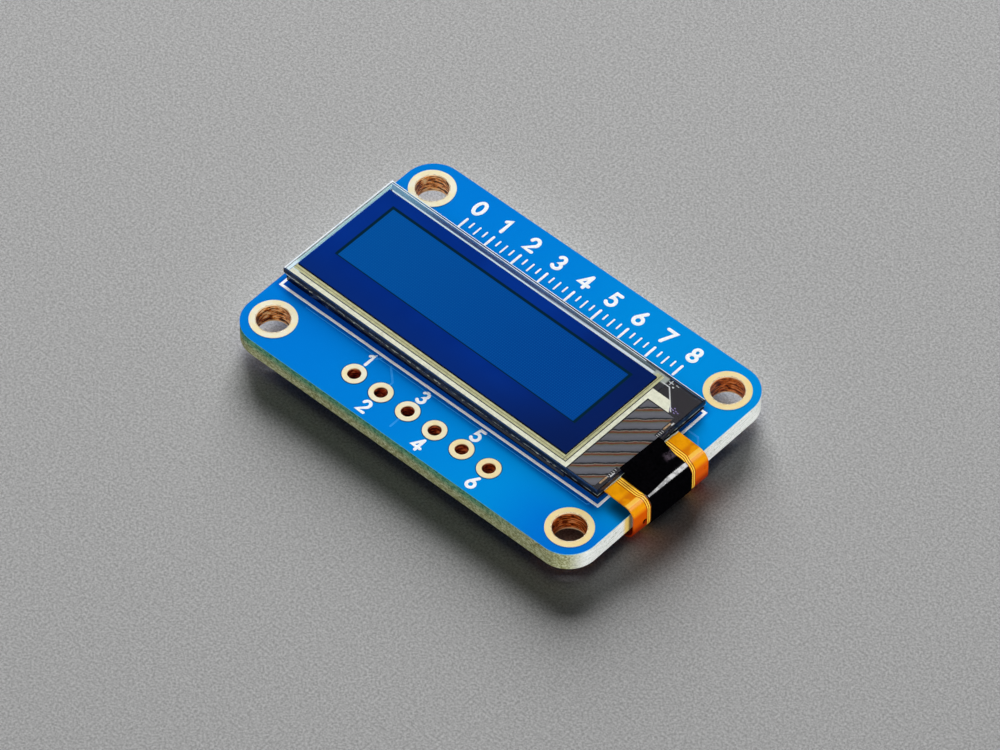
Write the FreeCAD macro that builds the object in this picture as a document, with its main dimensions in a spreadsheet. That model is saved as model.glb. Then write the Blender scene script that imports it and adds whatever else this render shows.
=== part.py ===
"""Small graphic display module.

A blue circuit board carries a thin glass display panel. The panel's flexible circuit leaves the bare ledge at the
panel's right end, bends round the board's right edge and is soldered to the board's back, where the power supply
and the level shifters sit.

Millimetres. +X runs along the board towards the bend of the flexible circuit, +Y towards the board's rear edge and
+Z out of the display. The origin is the centre of the four mounting holes, on the board's back face.
"""
import FreeCAD, Part
import math
import os
import Sketcher

Vector = FreeCAD.Vector
Constraint = Sketcher.Constraint

SIZES = {
    # circuit board
    "board_length": 32.6,
    "board_width": 21.4,
    "board_thickness": 1.6,
    "board_corner": 2.4,
    "mount_inset_x": 2.33,
    "mount_inset_y": 2.445,
    "mount_hole": 2.5,
    "mount_ring": 3.5,
    "header_pitch": 2.54,
    "header_inset": 2.59,
    "header_hole": 1.0,
    "header_ring": 1.77,
    "plating_wall": 0.05,
    "pad_thickness": 0.04,
    # display panel, as laid on the board
    "panel_length": 29.9,
    "panel_width": 11.15,
    "panel_setback": 2.31,
    "panel_y": 0.37,
    "panel_skew": -0.57,
    "adhesive_thickness": 0.16,
    "adhesive_margin": 0.35,
    "ledge_length": 3.15,
    "cap_inset": 0.3,
    "cap_thickness": 0.55,
    "recess_wall": 1.6,
    "recess_depth": 0.25,
    "desiccant_margin": 0.6,
    "desiccant_thickness": 0.12,
    "seal_width": 1.2,
    "seal_thickness": 0.03,
    "film_thickness": 0.01,
    "substrate_thickness": 0.55,
    "glass_chamfer": 0.05,
    "polarizer_margin_x": 0.6,
    "polarizer_margin_y": 0.875,
    "polarizer_thickness": 0.2,
    "polarizer_chamfer": 0.03,
    # films under the display glass
    "matrix_left": 1.293,
    "matrix_right": 1.873,
    "matrix_front": 2.77,
    "matrix_rear": 1.046,
    "track_inset": 0.26,
    "track_setback": 0.04,
    "supply_track_width": 0.34,
    "track_gap": 0.08,
    "cathode_track_width": 0.6,
    "foot_y": 3.13,
    "foot_width": 0.9,
    "foot_tip_setback": 1.26,
    "foot_slant": 0.6,
    "fanout_inset": 0.3,
    "fanout_gap": 0.1,
    "fanout_setback": 0.65,
    "fanout_middle_setback": 0.3,
    "fanout_middle_low": -2.9,
    "fanout_middle_high": 0.95,
    # driver chip under the ledge
    "chip_length": 7.2,
    "chip_width": 1.0,
    "chip_thickness": 0.3,
    "chip_setback": 1.65,
    "chip_y": -1.1,
    "bond_gap": 0.01,
    "shield_inset": 0.05,
    "shield_thickness": 0.07,
    # flexible circuit
    "flex_width": 7.4,
    "flex_thickness": 0.12,
    "flex_shift": -1.33,
    "flex_twist": -1.93,
    "flex_bond": 0.9,
    "flex_overhang": 0.62,
    "flex_top_radius": 0.8,
    "flex_bottom_radius": 1.05,
    "flex_tail_radius": 1.0,
    "flex_drop": 0.82,
    "tail_inset": 4.12,
    "tail_gap": 0.06,
    "flex_hole": 0.44,
    "flex_hole_y": -2.6,
    "flex_hole_level": 0.5,
    "cover_width": 3.9,
    "cover_y": 0.05,
    "cover_thickness": 0.07,
    "cover_lap": 0.18,
    "cover_brow": 0.1,
    "cover_ramp": 1.5,
    "cover_brow_radius": 0.5,
    "cover_foot_radius": 0.8,
    "cover_tail": 1.2,
    "finger_pitch": 0.5,
    "finger_width": 0.3,
    "finger_length": 1.1,
    # moulded packages on the board's back
    "lead_pitch": 0.95,
    "lead_width": 0.4,
    "lead_thickness": 0.13,
    "lead_foot": 0.4,
    "lead_shoulder": 0.12,
    "package_gap": 0.08,
    "package_draft": 7.0,
    "regulator_length": 2.9,
    "regulator_width": 1.6,
    "regulator_height": 1.1,
    "regulator_span": 2.8,
    "transistor_length": 2.9,
    "transistor_width": 1.3,
    "transistor_height": 1.0,
    "transistor_span": 2.4,
    "diode_length": 1.25,
    "diode_width": 1.7,
    "diode_height": 0.9,
    "diode_span": 2.5,
    # chip capacitors and resistors on the board's back
    "bulk_length": 2.0,
    "bulk_width": 1.25,
    "bulk_height": 1.1,
    "bulk_end": 0.4,
    "small_length": 1.6,
    "small_width": 0.8,
    "capacitor_height": 0.8,
    "resistor_height": 0.45,
    "small_end": 0.3,
    "chip_gap": 0.03,
    "cap_lip": 0.02,
    "solder_toe": 0.25,
    # places on the board's back
    "supply_inset": 6.7,
    "regulator_y": 3.2,
    "output_capacitor_y": 6.4,
    "input_capacitor_y": -4.4,
    "transistor_x": -5.0,
    "transistor_y": -4.2,
    "transistor_pitch": 4.6,
    "pullup_offset": 2.9,
    "pullup_spacing": 2.0,
    "reset_x": 4.4,
    "reset_y": -4.3,
    "reset_pitch": 2.3,
    "pump_setback": 2.78,
    "reservoir_y": -4.2,
    "pump_offset": 2.1,
    "pump_pitch": 1.7,
}

HEADER_COUNT = 6
FINGER_COUNT = 14
PUMP_COUNT = 3

doc = FreeCAD.newDocument("display_module")
dims = doc.addObject("Spreadsheet::Sheet", "dims")
for row, (alias, size) in enumerate(SIZES.items(), 1):
    dims.set(f"A{row}", alias)
    dims.set(f"B{row}", str(size))
    dims.setAlias(f"B{row}", alias)
doc.recompute()

pieces = []

# heights and reaches that several pieces share, as formulas of the sheet
CAP_LEVEL = "dims.board_thickness + dims.adhesive_thickness"
SEAL_LEVEL = f"{CAP_LEVEL} + dims.cap_thickness"
FILM_LEVEL = f"{SEAL_LEVEL} + dims.seal_thickness"
GLASS_LEVEL = f"{FILM_LEVEL} + dims.film_thickness"
POLARIZER_LEVEL = f"{GLASS_LEVEL} + dims.substrate_thickness"
PANEL_END = "dims.panel_length / 2"
CAP_START = "dims.cap_inset - dims.panel_length / 2"
CAP_END = "dims.panel_length / 2 - dims.ledge_length"
CAP_LENGTH = "(dims.panel_length - dims.cap_inset - dims.ledge_length)"
CAP_CENTRE = "(dims.cap_inset - dims.ledge_length) / 2"
PANEL_X = "(dims.board_length / 2 - dims.panel_setback - dims.panel_length / 2)"
POLARIZER_LENGTH = "(dims.panel_length - dims.ledge_length - 2 * dims.polarizer_margin_x)"
POLARIZER_WIDTH = "(dims.panel_width - 2 * dims.polarizer_margin_y)"
POLARIZER_CENTRE = "-dims.ledge_length / 2"
HEADER_ROW = "dims.header_inset - dims.board_width / 2"


def value(formula):
    """What a formula of the sheet comes to."""
    return float(dims.evalExpression(formula))


def new_body(label):
    """An empty body that becomes one sub-part."""
    body = doc.addObject("PartDesign::Body", label)
    body.Label = label
    pieces.append(body)
    return body


def origin_plane(body, role):
    """One of the body's own three origin planes."""
    return next(feature for feature in body.Origin.OriginFeatures if feature.Role == role)


def sketch_on(body, name, role="XY_Plane", offset=None):
    """A sketch on one of the body's origin planes, moved along its normal by a formula."""
    sketch = body.newObject("Sketcher::SketchObject", f"{body.Label}_{name}")
    sketch.AttachmentSupport = [(origin_plane(body, role), "")]
    sketch.MapMode = "FlatFace"
    if offset:
        sketch.setExpression("AttachmentOffset.Base.z", offset)
    return sketch


def bind(sketch, name, constraint, formula):
    """Add a dimension to a sketch and tie it to the sheet."""
    index = sketch.addConstraint(constraint)
    sketch.renameConstraint(index, name)
    sketch.setExpression(f"Constraints.{name}", formula)


def closed_lines(sketch, corners):
    """Straight lines through the corners and back to the first; returns the first line's number."""
    first = sketch.GeometryCount
    count = len(corners)
    for index, corner in enumerate(corners):
        sketch.addGeometry(Part.LineSegment(corner, corners[(index + 1) % count]))
    for index in range(count):
        sketch.addConstraint(Constraint("Coincident", first + index, 2, first + (index + 1) % count, 1))
    return first


def draw_polygon(sketch, name, corners):
    """A closed polygon whose every corner is given by two formulas."""
    first = closed_lines(sketch, [Vector(value(x), value(y), 0) for x, y in corners])
    for index, (x, y) in enumerate(corners):
        line = first + index
        bind(sketch, f"{name}_x{index}", Constraint("DistanceX", -1, 1, line, 1, value(x)), x)
        bind(sketch, f"{name}_y{index}", Constraint("DistanceY", -1, 1, line, 1, value(y)), y)


def draw_rectangle(sketch, name, length, width, x="0", y="0"):
    """A rectangle of the given length and width about a centre."""
    middle = Vector(value(x), value(y), 0)
    reach = Vector(value(length) / 2, value(width) / 2, 0)
    side = Vector(reach.x, -reach.y, 0)
    first = closed_lines(sketch, [middle - reach, middle + side, middle + reach, middle - side])
    for line in (first, first + 2):
        sketch.addConstraint(Constraint("Horizontal", line))
    for line in (first + 1, first + 3):
        sketch.addConstraint(Constraint("Vertical", line))
    centre = sketch.addGeometry(Part.Point(middle), True)
    sketch.addConstraint(Constraint("Symmetric", first, 1, first + 1, 2, centre, 1))
    bind(sketch, f"{name}_length", Constraint("DistanceX", first, 1, first, 2, 2 * reach.x), length)
    bind(sketch, f"{name}_width", Constraint("DistanceY", first + 1, 1, first + 1, 2, 2 * reach.y), width)
    bind(sketch, f"{name}_x", Constraint("DistanceX", -1, 1, centre, 1, middle.x), x)
    bind(sketch, f"{name}_y", Constraint("DistanceY", -1, 1, centre, 1, middle.y), y)


def draw_rounded_rectangle(sketch, length, width, radius):
    """A rectangle about the origin whose four corners are equal arcs."""
    reach_x = value(length) / 2
    reach_y = value(width) / 2
    corner = value(radius)
    arcs = []
    for quarter, (sign_x, sign_y) in enumerate(((1, 1), (-1, 1), (-1, -1), (1, -1))):
        centre = Vector(sign_x * (reach_x - corner), sign_y * (reach_y - corner), 0)
        start = quarter * math.pi / 2
        circle = Part.Circle(centre, Vector(0, 0, 1), corner)
        arcs.append(sketch.addGeometry(Part.ArcOfCircle(circle, start, start + math.pi / 2)))
    sides = []
    for index, arc in enumerate(arcs):
        following = arcs[(index + 1) % 4]
        start = sketch.getPoint(arc, 2)
        end = sketch.getPoint(following, 1)
        side = sketch.addGeometry(Part.LineSegment(start, end))
        sketch.addConstraint(Constraint("Tangent", arc, 2, side, 1))
        sketch.addConstraint(Constraint("Tangent", side, 2, following, 1))
        sides.append(side)
    for arc in arcs[1:]:
        sketch.addConstraint(Constraint("Equal", arcs[0], arc))
    rear, left, front, right = sides
    for side in (rear, front):
        sketch.addConstraint(Constraint("Horizontal", side))
    for side in (left, right):
        sketch.addConstraint(Constraint("Vertical", side))
    bind(sketch, "corner", Constraint("Radius", arcs[0], corner), radius)
    bind(sketch, "right", Constraint("DistanceX", -1, 1, right, 1, reach_x), f"{length} / 2")
    bind(sketch, "left", Constraint("DistanceX", -1, 1, left, 1, -reach_x), f"-{length} / 2")
    bind(sketch, "rear", Constraint("DistanceY", -1, 1, rear, 1, reach_y), f"{width} / 2")
    bind(sketch, "front", Constraint("DistanceY", -1, 1, front, 1, -reach_y), f"-{width} / 2")


def draw_circle(sketch, name, diameter, x, y):
    """A circle of the given diameter about a centre."""
    centre = Vector(value(x), value(y), 0)
    circle = sketch.addGeometry(Part.Circle(centre, Vector(0, 0, 1), value(diameter) / 2))
    bind(sketch, f"{name}_size", Constraint("Diameter", circle, value(diameter)), diameter)
    bind(sketch, f"{name}_x", Constraint("DistanceX", -1, 1, circle, 3, centre.x), x)
    bind(sketch, f"{name}_y", Constraint("DistanceY", -1, 1, circle, 3, centre.y), y)


def pad(body, sketch, length, symmetric=False):
    """Raise a sketch into a solid along its normal."""
    feature = body.newObject("PartDesign::Pad", f"{sketch.Label}_pad")
    feature.Profile = sketch
    feature.setExpression("Length", length)
    if symmetric:
        feature.SideType = "Symmetric"
    return feature


def chamfer_top(body, base, size):
    """Break the edges round the highest face of a feature."""
    doc.recompute()
    faces = base.Shape.Faces
    highest = max(range(len(faces)), key=lambda index: faces[index].CenterOfMass.z)
    feature = body.newObject("PartDesign::Chamfer", f"{body.Label}_chamfer")
    feature.Base = (base, [f"Face{highest + 1}"])
    feature.setExpression("Size", size)
    return feature


def place(body, x, y, z, angle=None, rotation=None):
    """Tie a body's place to the sheet; angle turns it about +Z, rotation is a fixed attitude."""
    body.Placement = FreeCAD.Placement(Vector(), rotation or FreeCAD.Rotation(Vector(0, 0, 1), 1))
    body.setExpression("Placement.Base.x", x)
    body.setExpression("Placement.Base.y", y)
    body.setExpression("Placement.Base.z", z)
    if rotation is None:
        body.setExpression("Placement.Rotation.Angle", angle or "0")


def place_on_panel(body, level):
    """Lay a body down in the panel's own frame, at a height above the board's back face."""
    place(body, PANEL_X, "dims.panel_y", level, "dims.panel_skew")


def place_on_flex(body):
    """Lay a body down in the flexible circuit's frame, whose origin is under the panel's right edge."""
    place(body, FLEX_ORIGIN, "dims.panel_y + dims.flex_shift", "0", FLEX_ANGLE)


def panel_plate(label, length, width, level, thickness, x="0", y="0"):
    """A rectangular layer of the panel."""
    body = new_body(label)
    outline = sketch_on(body, "outline")
    draw_rectangle(outline, "plate", length, width, x, y)
    plate = pad(body, outline, thickness)
    place_on_panel(body, level)
    return body, plate


# Circuit board

def circuit_board():
    """The laminate with its rounded corners, mounting holes and header holes, drilled for their plating."""
    body = new_body("printed_board")
    outline = sketch_on(body, "outline")
    draw_rounded_rectangle(outline, "dims.board_length", "dims.board_width", "dims.board_corner")
    blank = pad(body, outline, "dims.board_thickness")
    holes = sketch_on(body, "holes")
    for index, (x, y) in enumerate(mount_places()):
        draw_circle(holes, f"mount{index}", "dims.mount_hole + 2 * dims.plating_wall", x, y)
    for index, x in enumerate(header_places()):
        draw_circle(holes, f"header{index}", "dims.header_hole + 2 * dims.plating_wall", x, HEADER_ROW)
    doc.recompute()
    drilling = body.newObject("PartDesign::Pocket", "board_drilling")
    drilling.Profile = holes
    drilling.Type = "ThroughAll"
    drilling.Reversed = True
    doc.recompute()
    if drilling.Shape.Volume >= blank.Shape.Volume:
        raise RuntimeError("the board's holes cut nothing")


def mount_places():
    """Centres of the four mounting holes: front left, front right, rear left, rear right."""
    reach_x = "(dims.board_length / 2 - dims.mount_inset_x)"
    reach_y = "(dims.board_width / 2 - dims.mount_inset_y)"
    return [
        (f"{sign_x} * {reach_x}", f"{sign_y} * {reach_y}")
        for sign_y in (-1, 1)
        for sign_x in (-1, 1)
    ]


def header_places():
    """Distances of the header holes along X from the board's middle."""
    return [f"({index} - ({HEADER_COUNT} - 1) / 2) * dims.header_pitch" for index in range(HEADER_COUNT)]


def plated_barrel(label, hole, ring, x, y):
    """The metal lining of one hole, turned out into a flat ring on each face of the board."""
    body = new_body(label)
    section = sketch_on(body, "section", "XZ_Plane")
    bore = f"{hole} / 2"
    wall = f"{hole} / 2 + dims.plating_wall"
    rim = f"{ring} / 2"
    low = "-dims.pad_thickness"
    face = "dims.board_thickness"
    high = "dims.board_thickness + dims.pad_thickness"
    lower_ring = [(bore, low), (rim, low), (rim, "0"), (wall, "0")]
    upper_ring = [(wall, face), (rim, face), (rim, high), (bore, high)]
    draw_polygon(section, "lining", lower_ring + upper_ring)
    turn = body.newObject("PartDesign::Revolution", f"{label}_turn")
    turn.Profile = section
    turn.ReferenceAxis = (section, ["V_Axis"])
    turn.Angle = 360
    place(body, x, y, "0")


# Display panel

def adhesive_strip():
    """The black double-sided tape between the board and the cap glass."""
    length = f"{CAP_LENGTH} - 2 * dims.adhesive_margin"
    width = "dims.panel_width - 2 * dims.adhesive_margin"
    panel_plate("panel_adhesive", length, width, "dims.board_thickness", "dims.adhesive_thickness", CAP_CENTRE)


def cap_glass():
    """The panel's rear glass, with a shallow recess that faces the pixels."""
    level = CAP_LEVEL
    body, plate = panel_plate(
        "cap_glass", CAP_LENGTH, "dims.panel_width", level, "dims.cap_thickness", CAP_CENTRE
    )
    floor = sketch_on(body, "recess", offset="dims.cap_thickness")
    length = f"{CAP_LENGTH} - 2 * dims.recess_wall"
    draw_rectangle(floor, "recess", length, "dims.panel_width - 2 * dims.recess_wall", CAP_CENTRE)
    doc.recompute()
    recess = body.newObject("PartDesign::Pocket", "cap_glass_recess_pocket")
    recess.Profile = floor
    recess.setExpression("Length", "dims.recess_depth")
    doc.recompute()
    if recess.Shape.Volume >= plate.Shape.Volume:
        raise RuntimeError("the cap's recess cuts nothing")


def desiccant_sheet():
    """The drying sheet that lies in the cap's recess."""
    margin = "(dims.recess_wall + dims.desiccant_margin)"
    panel_plate(
        "desiccant_sheet",
        f"{CAP_LENGTH} - 2 * {margin}",
        f"dims.panel_width - 2 * {margin}",
        f"{SEAL_LEVEL} - dims.recess_depth",
        "dims.desiccant_thickness",
        CAP_CENTRE,
    )


def edge_seal():
    """The frame of sealing resin between the two glasses."""
    body = new_body("edge_seal")
    frame = sketch_on(body, "frame")
    draw_rectangle(frame, "outer", CAP_LENGTH, "dims.panel_width", CAP_CENTRE)
    inner_length = f"{CAP_LENGTH} - 2 * dims.seal_width"
    draw_rectangle(frame, "inner", inner_length, "dims.panel_width - 2 * dims.seal_width", CAP_CENTRE)
    pad(body, frame, "dims.seal_thickness")
    place_on_panel(body, SEAL_LEVEL)


def substrate_glass():
    """The display glass, with its front edges ground off."""
    body, plate = panel_plate(
        "substrate_glass", "dims.panel_length", "dims.panel_width", GLASS_LEVEL, "dims.substrate_thickness"
    )
    chamfer_top(body, plate, "dims.glass_chamfer")


def polarizer():
    """The polarizing sheet on the display glass, clear of the ledge."""
    body, plate = panel_plate(
        "polarizer",
        POLARIZER_LENGTH,
        POLARIZER_WIDTH,
        POLARIZER_LEVEL,
        "dims.polarizer_thickness",
        POLARIZER_CENTRE,
    )
    chamfer_top(body, plate, "dims.polarizer_chamfer")


def pixel_matrix():
    """The light-giving layers on the inner face of the display glass, off-centre behind the polarizer."""
    panel_plate(
        "pixel_matrix",
        f"{POLARIZER_LENGTH} - dims.matrix_left - dims.matrix_right",
        f"{POLARIZER_WIDTH} - dims.matrix_front - dims.matrix_rear",
        FILM_LEVEL,
        "dims.film_thickness",
        f"{POLARIZER_CENTRE} + (dims.matrix_left - dims.matrix_right) / 2",
        "(dims.matrix_front - dims.matrix_rear) / 2",
    )


def panel_film(label, corners):
    """A thin metal film of any outline on the inner face of the display glass."""
    body = new_body(label)
    outline = sketch_on(body, "outline")
    draw_polygon(outline, "edge", corners)
    pad(body, outline, "dims.film_thickness")
    place_on_panel(body, FILM_LEVEL)


def supply_track():
    """The outer track: along the front, up the right and out to a slanted foot on the ledge."""
    front = "dims.track_inset - dims.panel_width / 2"
    inside = f"{front} + dims.supply_track_width"
    right = f"{CAP_END} - dims.track_setback"
    inner_right = f"{right} - dims.supply_track_width"
    foot_top = "dims.foot_y + dims.foot_width"
    tip = f"{PANEL_END} - dims.foot_tip_setback"
    panel_film(
        "supply_track",
        [
            (CAP_START, front),
            (right, front),
            (right, "dims.foot_y"),
            (tip, "dims.foot_y"),
            (f"{tip} - dims.foot_slant", foot_top),
            (inner_right, foot_top),
            (inner_right, inside),
            (CAP_START, inside),
        ],
    )


def cathode_track():
    """The inner track, side by side with the outer one, up to the rear edge."""
    front = "dims.track_inset + dims.supply_track_width + dims.track_gap - dims.panel_width / 2"
    inside = f"{front} + dims.cathode_track_width"
    right = f"{CAP_END} - dims.track_setback - dims.supply_track_width - dims.track_gap"
    inner_right = f"{right} - dims.cathode_track_width"
    rear = "dims.panel_width / 2 - dims.track_inset"
    panel_film(
        "cathode_track",
        [
            (CAP_START, front),
            (right, front),
            (right, rear),
            (inner_right, rear),
            (inner_right, inside),
            (CAP_START, inside),
        ],
    )


def fanout_film():
    """The field of slanting conductors under the ledge, drawn out between the two groups of bond pads."""
    left = f"{CAP_END} - dims.track_setback + dims.fanout_gap"
    right = f"{PANEL_END} - dims.fanout_setback"
    middle = f"{PANEL_END} - dims.fanout_middle_setback"
    front = "dims.fanout_inset - dims.panel_width / 2"
    rear = "dims.foot_y - dims.fanout_gap"
    panel_film(
        "fanout_film",
        [
            (left, front),
            (right, front),
            (right, "dims.fanout_middle_low"),
            (middle, "dims.fanout_middle_low"),
            (middle, "dims.fanout_middle_high"),
            (right, "dims.fanout_middle_high"),
            (right, rear),
            (left, rear),
        ],
    )


def driver_chip():
    """The bare chip bonded face up under the ledge."""
    panel_plate(
        "driver_chip",
        "dims.chip_width",
        "dims.chip_length",
        f"{FILM_LEVEL} - dims.bond_gap - dims.chip_thickness",
        "dims.chip_thickness",
        f"{PANEL_END} - dims.chip_setback - dims.chip_width / 2",
        "dims.chip_y",
    )


def chip_shield():
    """The black tape that covers the chip from behind."""
    level = f"{FILM_LEVEL} - dims.bond_gap - dims.chip_thickness - dims.shield_thickness"
    panel_plate(
        "chip_shield",
        "dims.ledge_length - 2 * dims.shield_inset",
        "dims.panel_width - 2 * dims.shield_inset",
        level,
        "dims.shield_thickness",
        f"{PANEL_END} - dims.ledge_length / 2",
    )


# Flexible circuit. Its frame stands under the panel's right edge, turned by the panel's skew and its own twist.
FLEX_ANGLE = "dims.panel_skew + dims.flex_twist"
FLEX_ORIGIN = "(dims.board_length / 2 - dims.panel_setback)"
FLEX_REACH = "(dims.panel_setback + dims.flex_overhang)"
FLEX_TOP = f"({GLASS_LEVEL} - 2 * dims.bond_gap - dims.flex_thickness / 2)"
TAIL_LEVEL = "(-dims.tail_gap - dims.flex_thickness / 2)"
TAIL_END = "(dims.panel_setback - dims.tail_inset)"
COVER_LIFT = "(dims.flex_thickness + dims.cover_thickness) / 2"
COVER_LEVEL = f"({POLARIZER_LEVEL} + dims.cover_thickness / 2)"


def draw_lap(sketch):
    """The cover tape's path on the ledge's top and down a gentle slope; returns its last arc, level at the foot."""
    begin = value("-dims.cover_lap")
    brow_x = value("dims.cover_brow")
    top = value(COVER_LEVEL)
    run = value("dims.cover_ramp")
    drop = top - value(f"{FLEX_TOP} + {COVER_LIFT}")
    brow_radius = value("dims.cover_brow_radius")
    foot_radius = value("dims.cover_foot_radius")
    both = brow_radius + foot_radius
    slope = math.atan2(run, both - drop) - math.acos(both / math.hypot(run, both - drop))
    axis = Vector(0, 0, 1)
    crest = Part.Circle(Vector(brow_x, top - brow_radius, 0), axis, brow_radius)
    hollow = Part.Circle(Vector(brow_x + run, top - drop + foot_radius, 0), axis, foot_radius)
    lap = sketch.addGeometry(Part.LineSegment(Vector(begin, top, 0), Vector(brow_x, top, 0)))
    brow = sketch.addGeometry(Part.ArcOfCircle(crest, math.pi / 2 - slope, math.pi / 2))
    foot = sketch.addGeometry(Part.ArcOfCircle(hollow, 3 * math.pi / 2 - slope, 3 * math.pi / 2))
    ramp = sketch.addGeometry(Part.LineSegment(sketch.getPoint(brow, 1), sketch.getPoint(foot, 1)))
    sketch.addConstraint(Constraint("Horizontal", lap))
    sketch.addConstraint(Constraint("Tangent", lap, 2, brow, 2))
    sketch.addConstraint(Constraint("Tangent", brow, 1, ramp, 1))
    sketch.addConstraint(Constraint("Tangent", ramp, 2, foot, 1))
    bind(sketch, "lap", Constraint("DistanceX", -1, 1, lap, 1, begin), "-dims.cover_lap")
    bind(sketch, "lap_level", Constraint("DistanceY", -1, 1, lap, 1, top), COVER_LEVEL)
    bind(sketch, "brow", Constraint("DistanceX", -1, 1, lap, 2, brow_x), "dims.cover_brow")
    bind(sketch, "brow_radius", Constraint("Radius", brow, brow_radius), "dims.cover_brow_radius")
    bind(sketch, "foot_radius", Constraint("Radius", foot, foot_radius), "dims.cover_foot_radius")
    return foot


def draw_bend(sketch, start, end, lift, foot=None):
    """The path of a strip round the board's edge, its outer side raised by lift from the circuit's middle.

    It runs level from under the ledge, or on from the foot of a lap, turns down past the board's edge, comes back
    under the board in a hanging bow and rises in a reverse bend to the level tail.
    """
    begin = value(start)
    stop = value(end)
    top = value(f"{FLEX_TOP} + {lift}")
    tail = value(f"{TAIL_LEVEL} - ({lift})")
    reach = value(f"{FLEX_REACH} + {lift}")
    top_radius = value(f"dims.flex_top_radius + {lift}")
    bottom_radius = value(f"dims.flex_bottom_radius + {lift}")
    tail_radius = value(f"dims.flex_tail_radius - ({lift})")
    bow_level = value("dims.flex_bottom_radius - dims.flex_drop")
    bow_x = reach - bottom_radius
    reverse_level = tail - tail_radius
    rise = bow_level - reverse_level
    reverse_x = bow_x - math.sqrt((bottom_radius + tail_radius) ** 2 - rise**2)
    slope = math.atan2(rise, bow_x - reverse_x)
    axis = Vector(0, 0, 1)
    turn = Part.Circle(Vector(reach - top_radius, top - top_radius, 0), axis, top_radius)
    bow = Part.Circle(Vector(bow_x, bow_level, 0), axis, bottom_radius)
    reverse = Part.Circle(Vector(reverse_x, reverse_level, 0), axis, tail_radius)
    upper = sketch.addGeometry(Part.LineSegment(Vector(begin, top, 0), Vector(reach - top_radius, top, 0)))
    shoulder = sketch.addGeometry(Part.ArcOfCircle(turn, 0, math.pi / 2))
    fall = sketch.addGeometry(Part.LineSegment(Vector(reach, top - top_radius, 0), Vector(reach, bow_level, 0)))
    hang = sketch.addGeometry(Part.ArcOfCircle(bow, math.pi + slope, 2 * math.pi))
    rising = sketch.addGeometry(Part.ArcOfCircle(reverse, slope, math.pi / 2))
    lower = sketch.addGeometry(Part.LineSegment(Vector(reverse_x, tail, 0), Vector(stop, tail, 0)))
    if foot is not None:
        sketch.addConstraint(Constraint("Tangent", foot, 2, upper, 1))
    sketch.addConstraint(Constraint("Horizontal", upper))
    sketch.addConstraint(Constraint("Tangent", upper, 2, shoulder, 2))
    sketch.addConstraint(Constraint("Tangent", shoulder, 1, fall, 1))
    sketch.addConstraint(Constraint("Vertical", fall))
    sketch.addConstraint(Constraint("Tangent", fall, 2, hang, 2))
    sketch.addConstraint(Constraint("Tangent", hang, 1, rising, 1))
    sketch.addConstraint(Constraint("Tangent", rising, 2, lower, 1))
    sketch.addConstraint(Constraint("Horizontal", lower))
    bind(sketch, "begin", Constraint("DistanceX", -1, 1, upper, 1, begin), start)
    bind(sketch, "top", Constraint("DistanceY", -1, 1, upper, 1, top), f"{FLEX_TOP} + {lift}")
    bind(sketch, "top_radius", Constraint("Radius", shoulder, top_radius), f"dims.flex_top_radius + {lift}")
    bind(sketch, "reach", Constraint("DistanceX", -1, 1, fall, 1, reach), f"{FLEX_REACH} + {lift}")
    bow_formula = f"dims.flex_bottom_radius + {lift}"
    bind(sketch, "bottom_radius", Constraint("Radius", hang, bottom_radius), bow_formula)
    level_formula = "dims.flex_bottom_radius - dims.flex_drop"
    bind(sketch, "bow_level", Constraint("DistanceY", -1, 1, hang, 3, bow_level), level_formula)
    bind(sketch, "tail_radius", Constraint("Radius", rising, tail_radius), f"dims.flex_tail_radius - ({lift})")
    bind(sketch, "tail", Constraint("DistanceY", -1, 1, lower, 2, tail), f"{TAIL_LEVEL} - ({lift})")
    bind(sketch, "stop", Constraint("DistanceX", -1, 1, lower, 2, stop), end)


def sweep_strip(body, path, width, thickness, y, start, level):
    """A strip of the given width and thickness along a path, from the path's start at its level."""
    section = sketch_on(body, "section", "YZ_Plane", start)
    draw_rectangle(section, "strip", width, thickness, y, level)
    doc.recompute()
    strip = body.newObject("PartDesign::AdditivePipe", f"{body.Label}_sweep")
    strip.Profile = section
    strip.Spine = (path, [])
    doc.recompute()
    expected = path.Shape.Length * value(width) * value(thickness)
    if abs(strip.Shape.Volume - expected) > expected / 1000:
        raise RuntimeError(f"{body.Label} isn't as long as its path")
    place_on_flex(body)
    return strip


def flex_circuit():
    """The flexible circuit, bonded under the ledge at one end and soldered under the board at the other."""
    body = new_body("flex_circuit")
    path = sketch_on(body, "path", "XZ_Plane")
    draw_bend(path, "-dims.flex_bond", TAIL_END, "0")
    strip = sweep_strip(body, path, "dims.flex_width", "dims.flex_thickness", "0", "-dims.flex_bond", FLEX_TOP)
    mark = sketch_on(body, "hole", "YZ_Plane")
    draw_circle(mark, "hole", "dims.flex_hole", "dims.flex_hole_y", "dims.flex_hole_level")
    doc.recompute()
    hole = body.newObject("PartDesign::Pocket", "flex_circuit_hole_pocket")
    hole.Profile = mark
    hole.Type = "ThroughAll"
    hole.SideType = "Symmetric"
    doc.recompute()
    if hole.Shape.Volume >= strip.Shape.Volume:
        raise RuntimeError("the flexible circuit's hole cuts nothing")


def cover_tape():
    """The black tape that laps onto the ledge's top, slopes down to the circuit and goes round the bend."""
    body = new_body("cover_tape")
    path = sketch_on(body, "path", "XZ_Plane")
    foot = draw_lap(path)
    foot_x = "(dims.cover_brow + dims.cover_ramp)"
    draw_bend(path, foot_x, f"{TAIL_END} + dims.cover_tail", COVER_LIFT, foot)
    width, thickness = "dims.cover_width", "dims.cover_thickness"
    sweep_strip(body, path, width, thickness, "dims.cover_y", "-dims.cover_lap", COVER_LEVEL)


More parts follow.
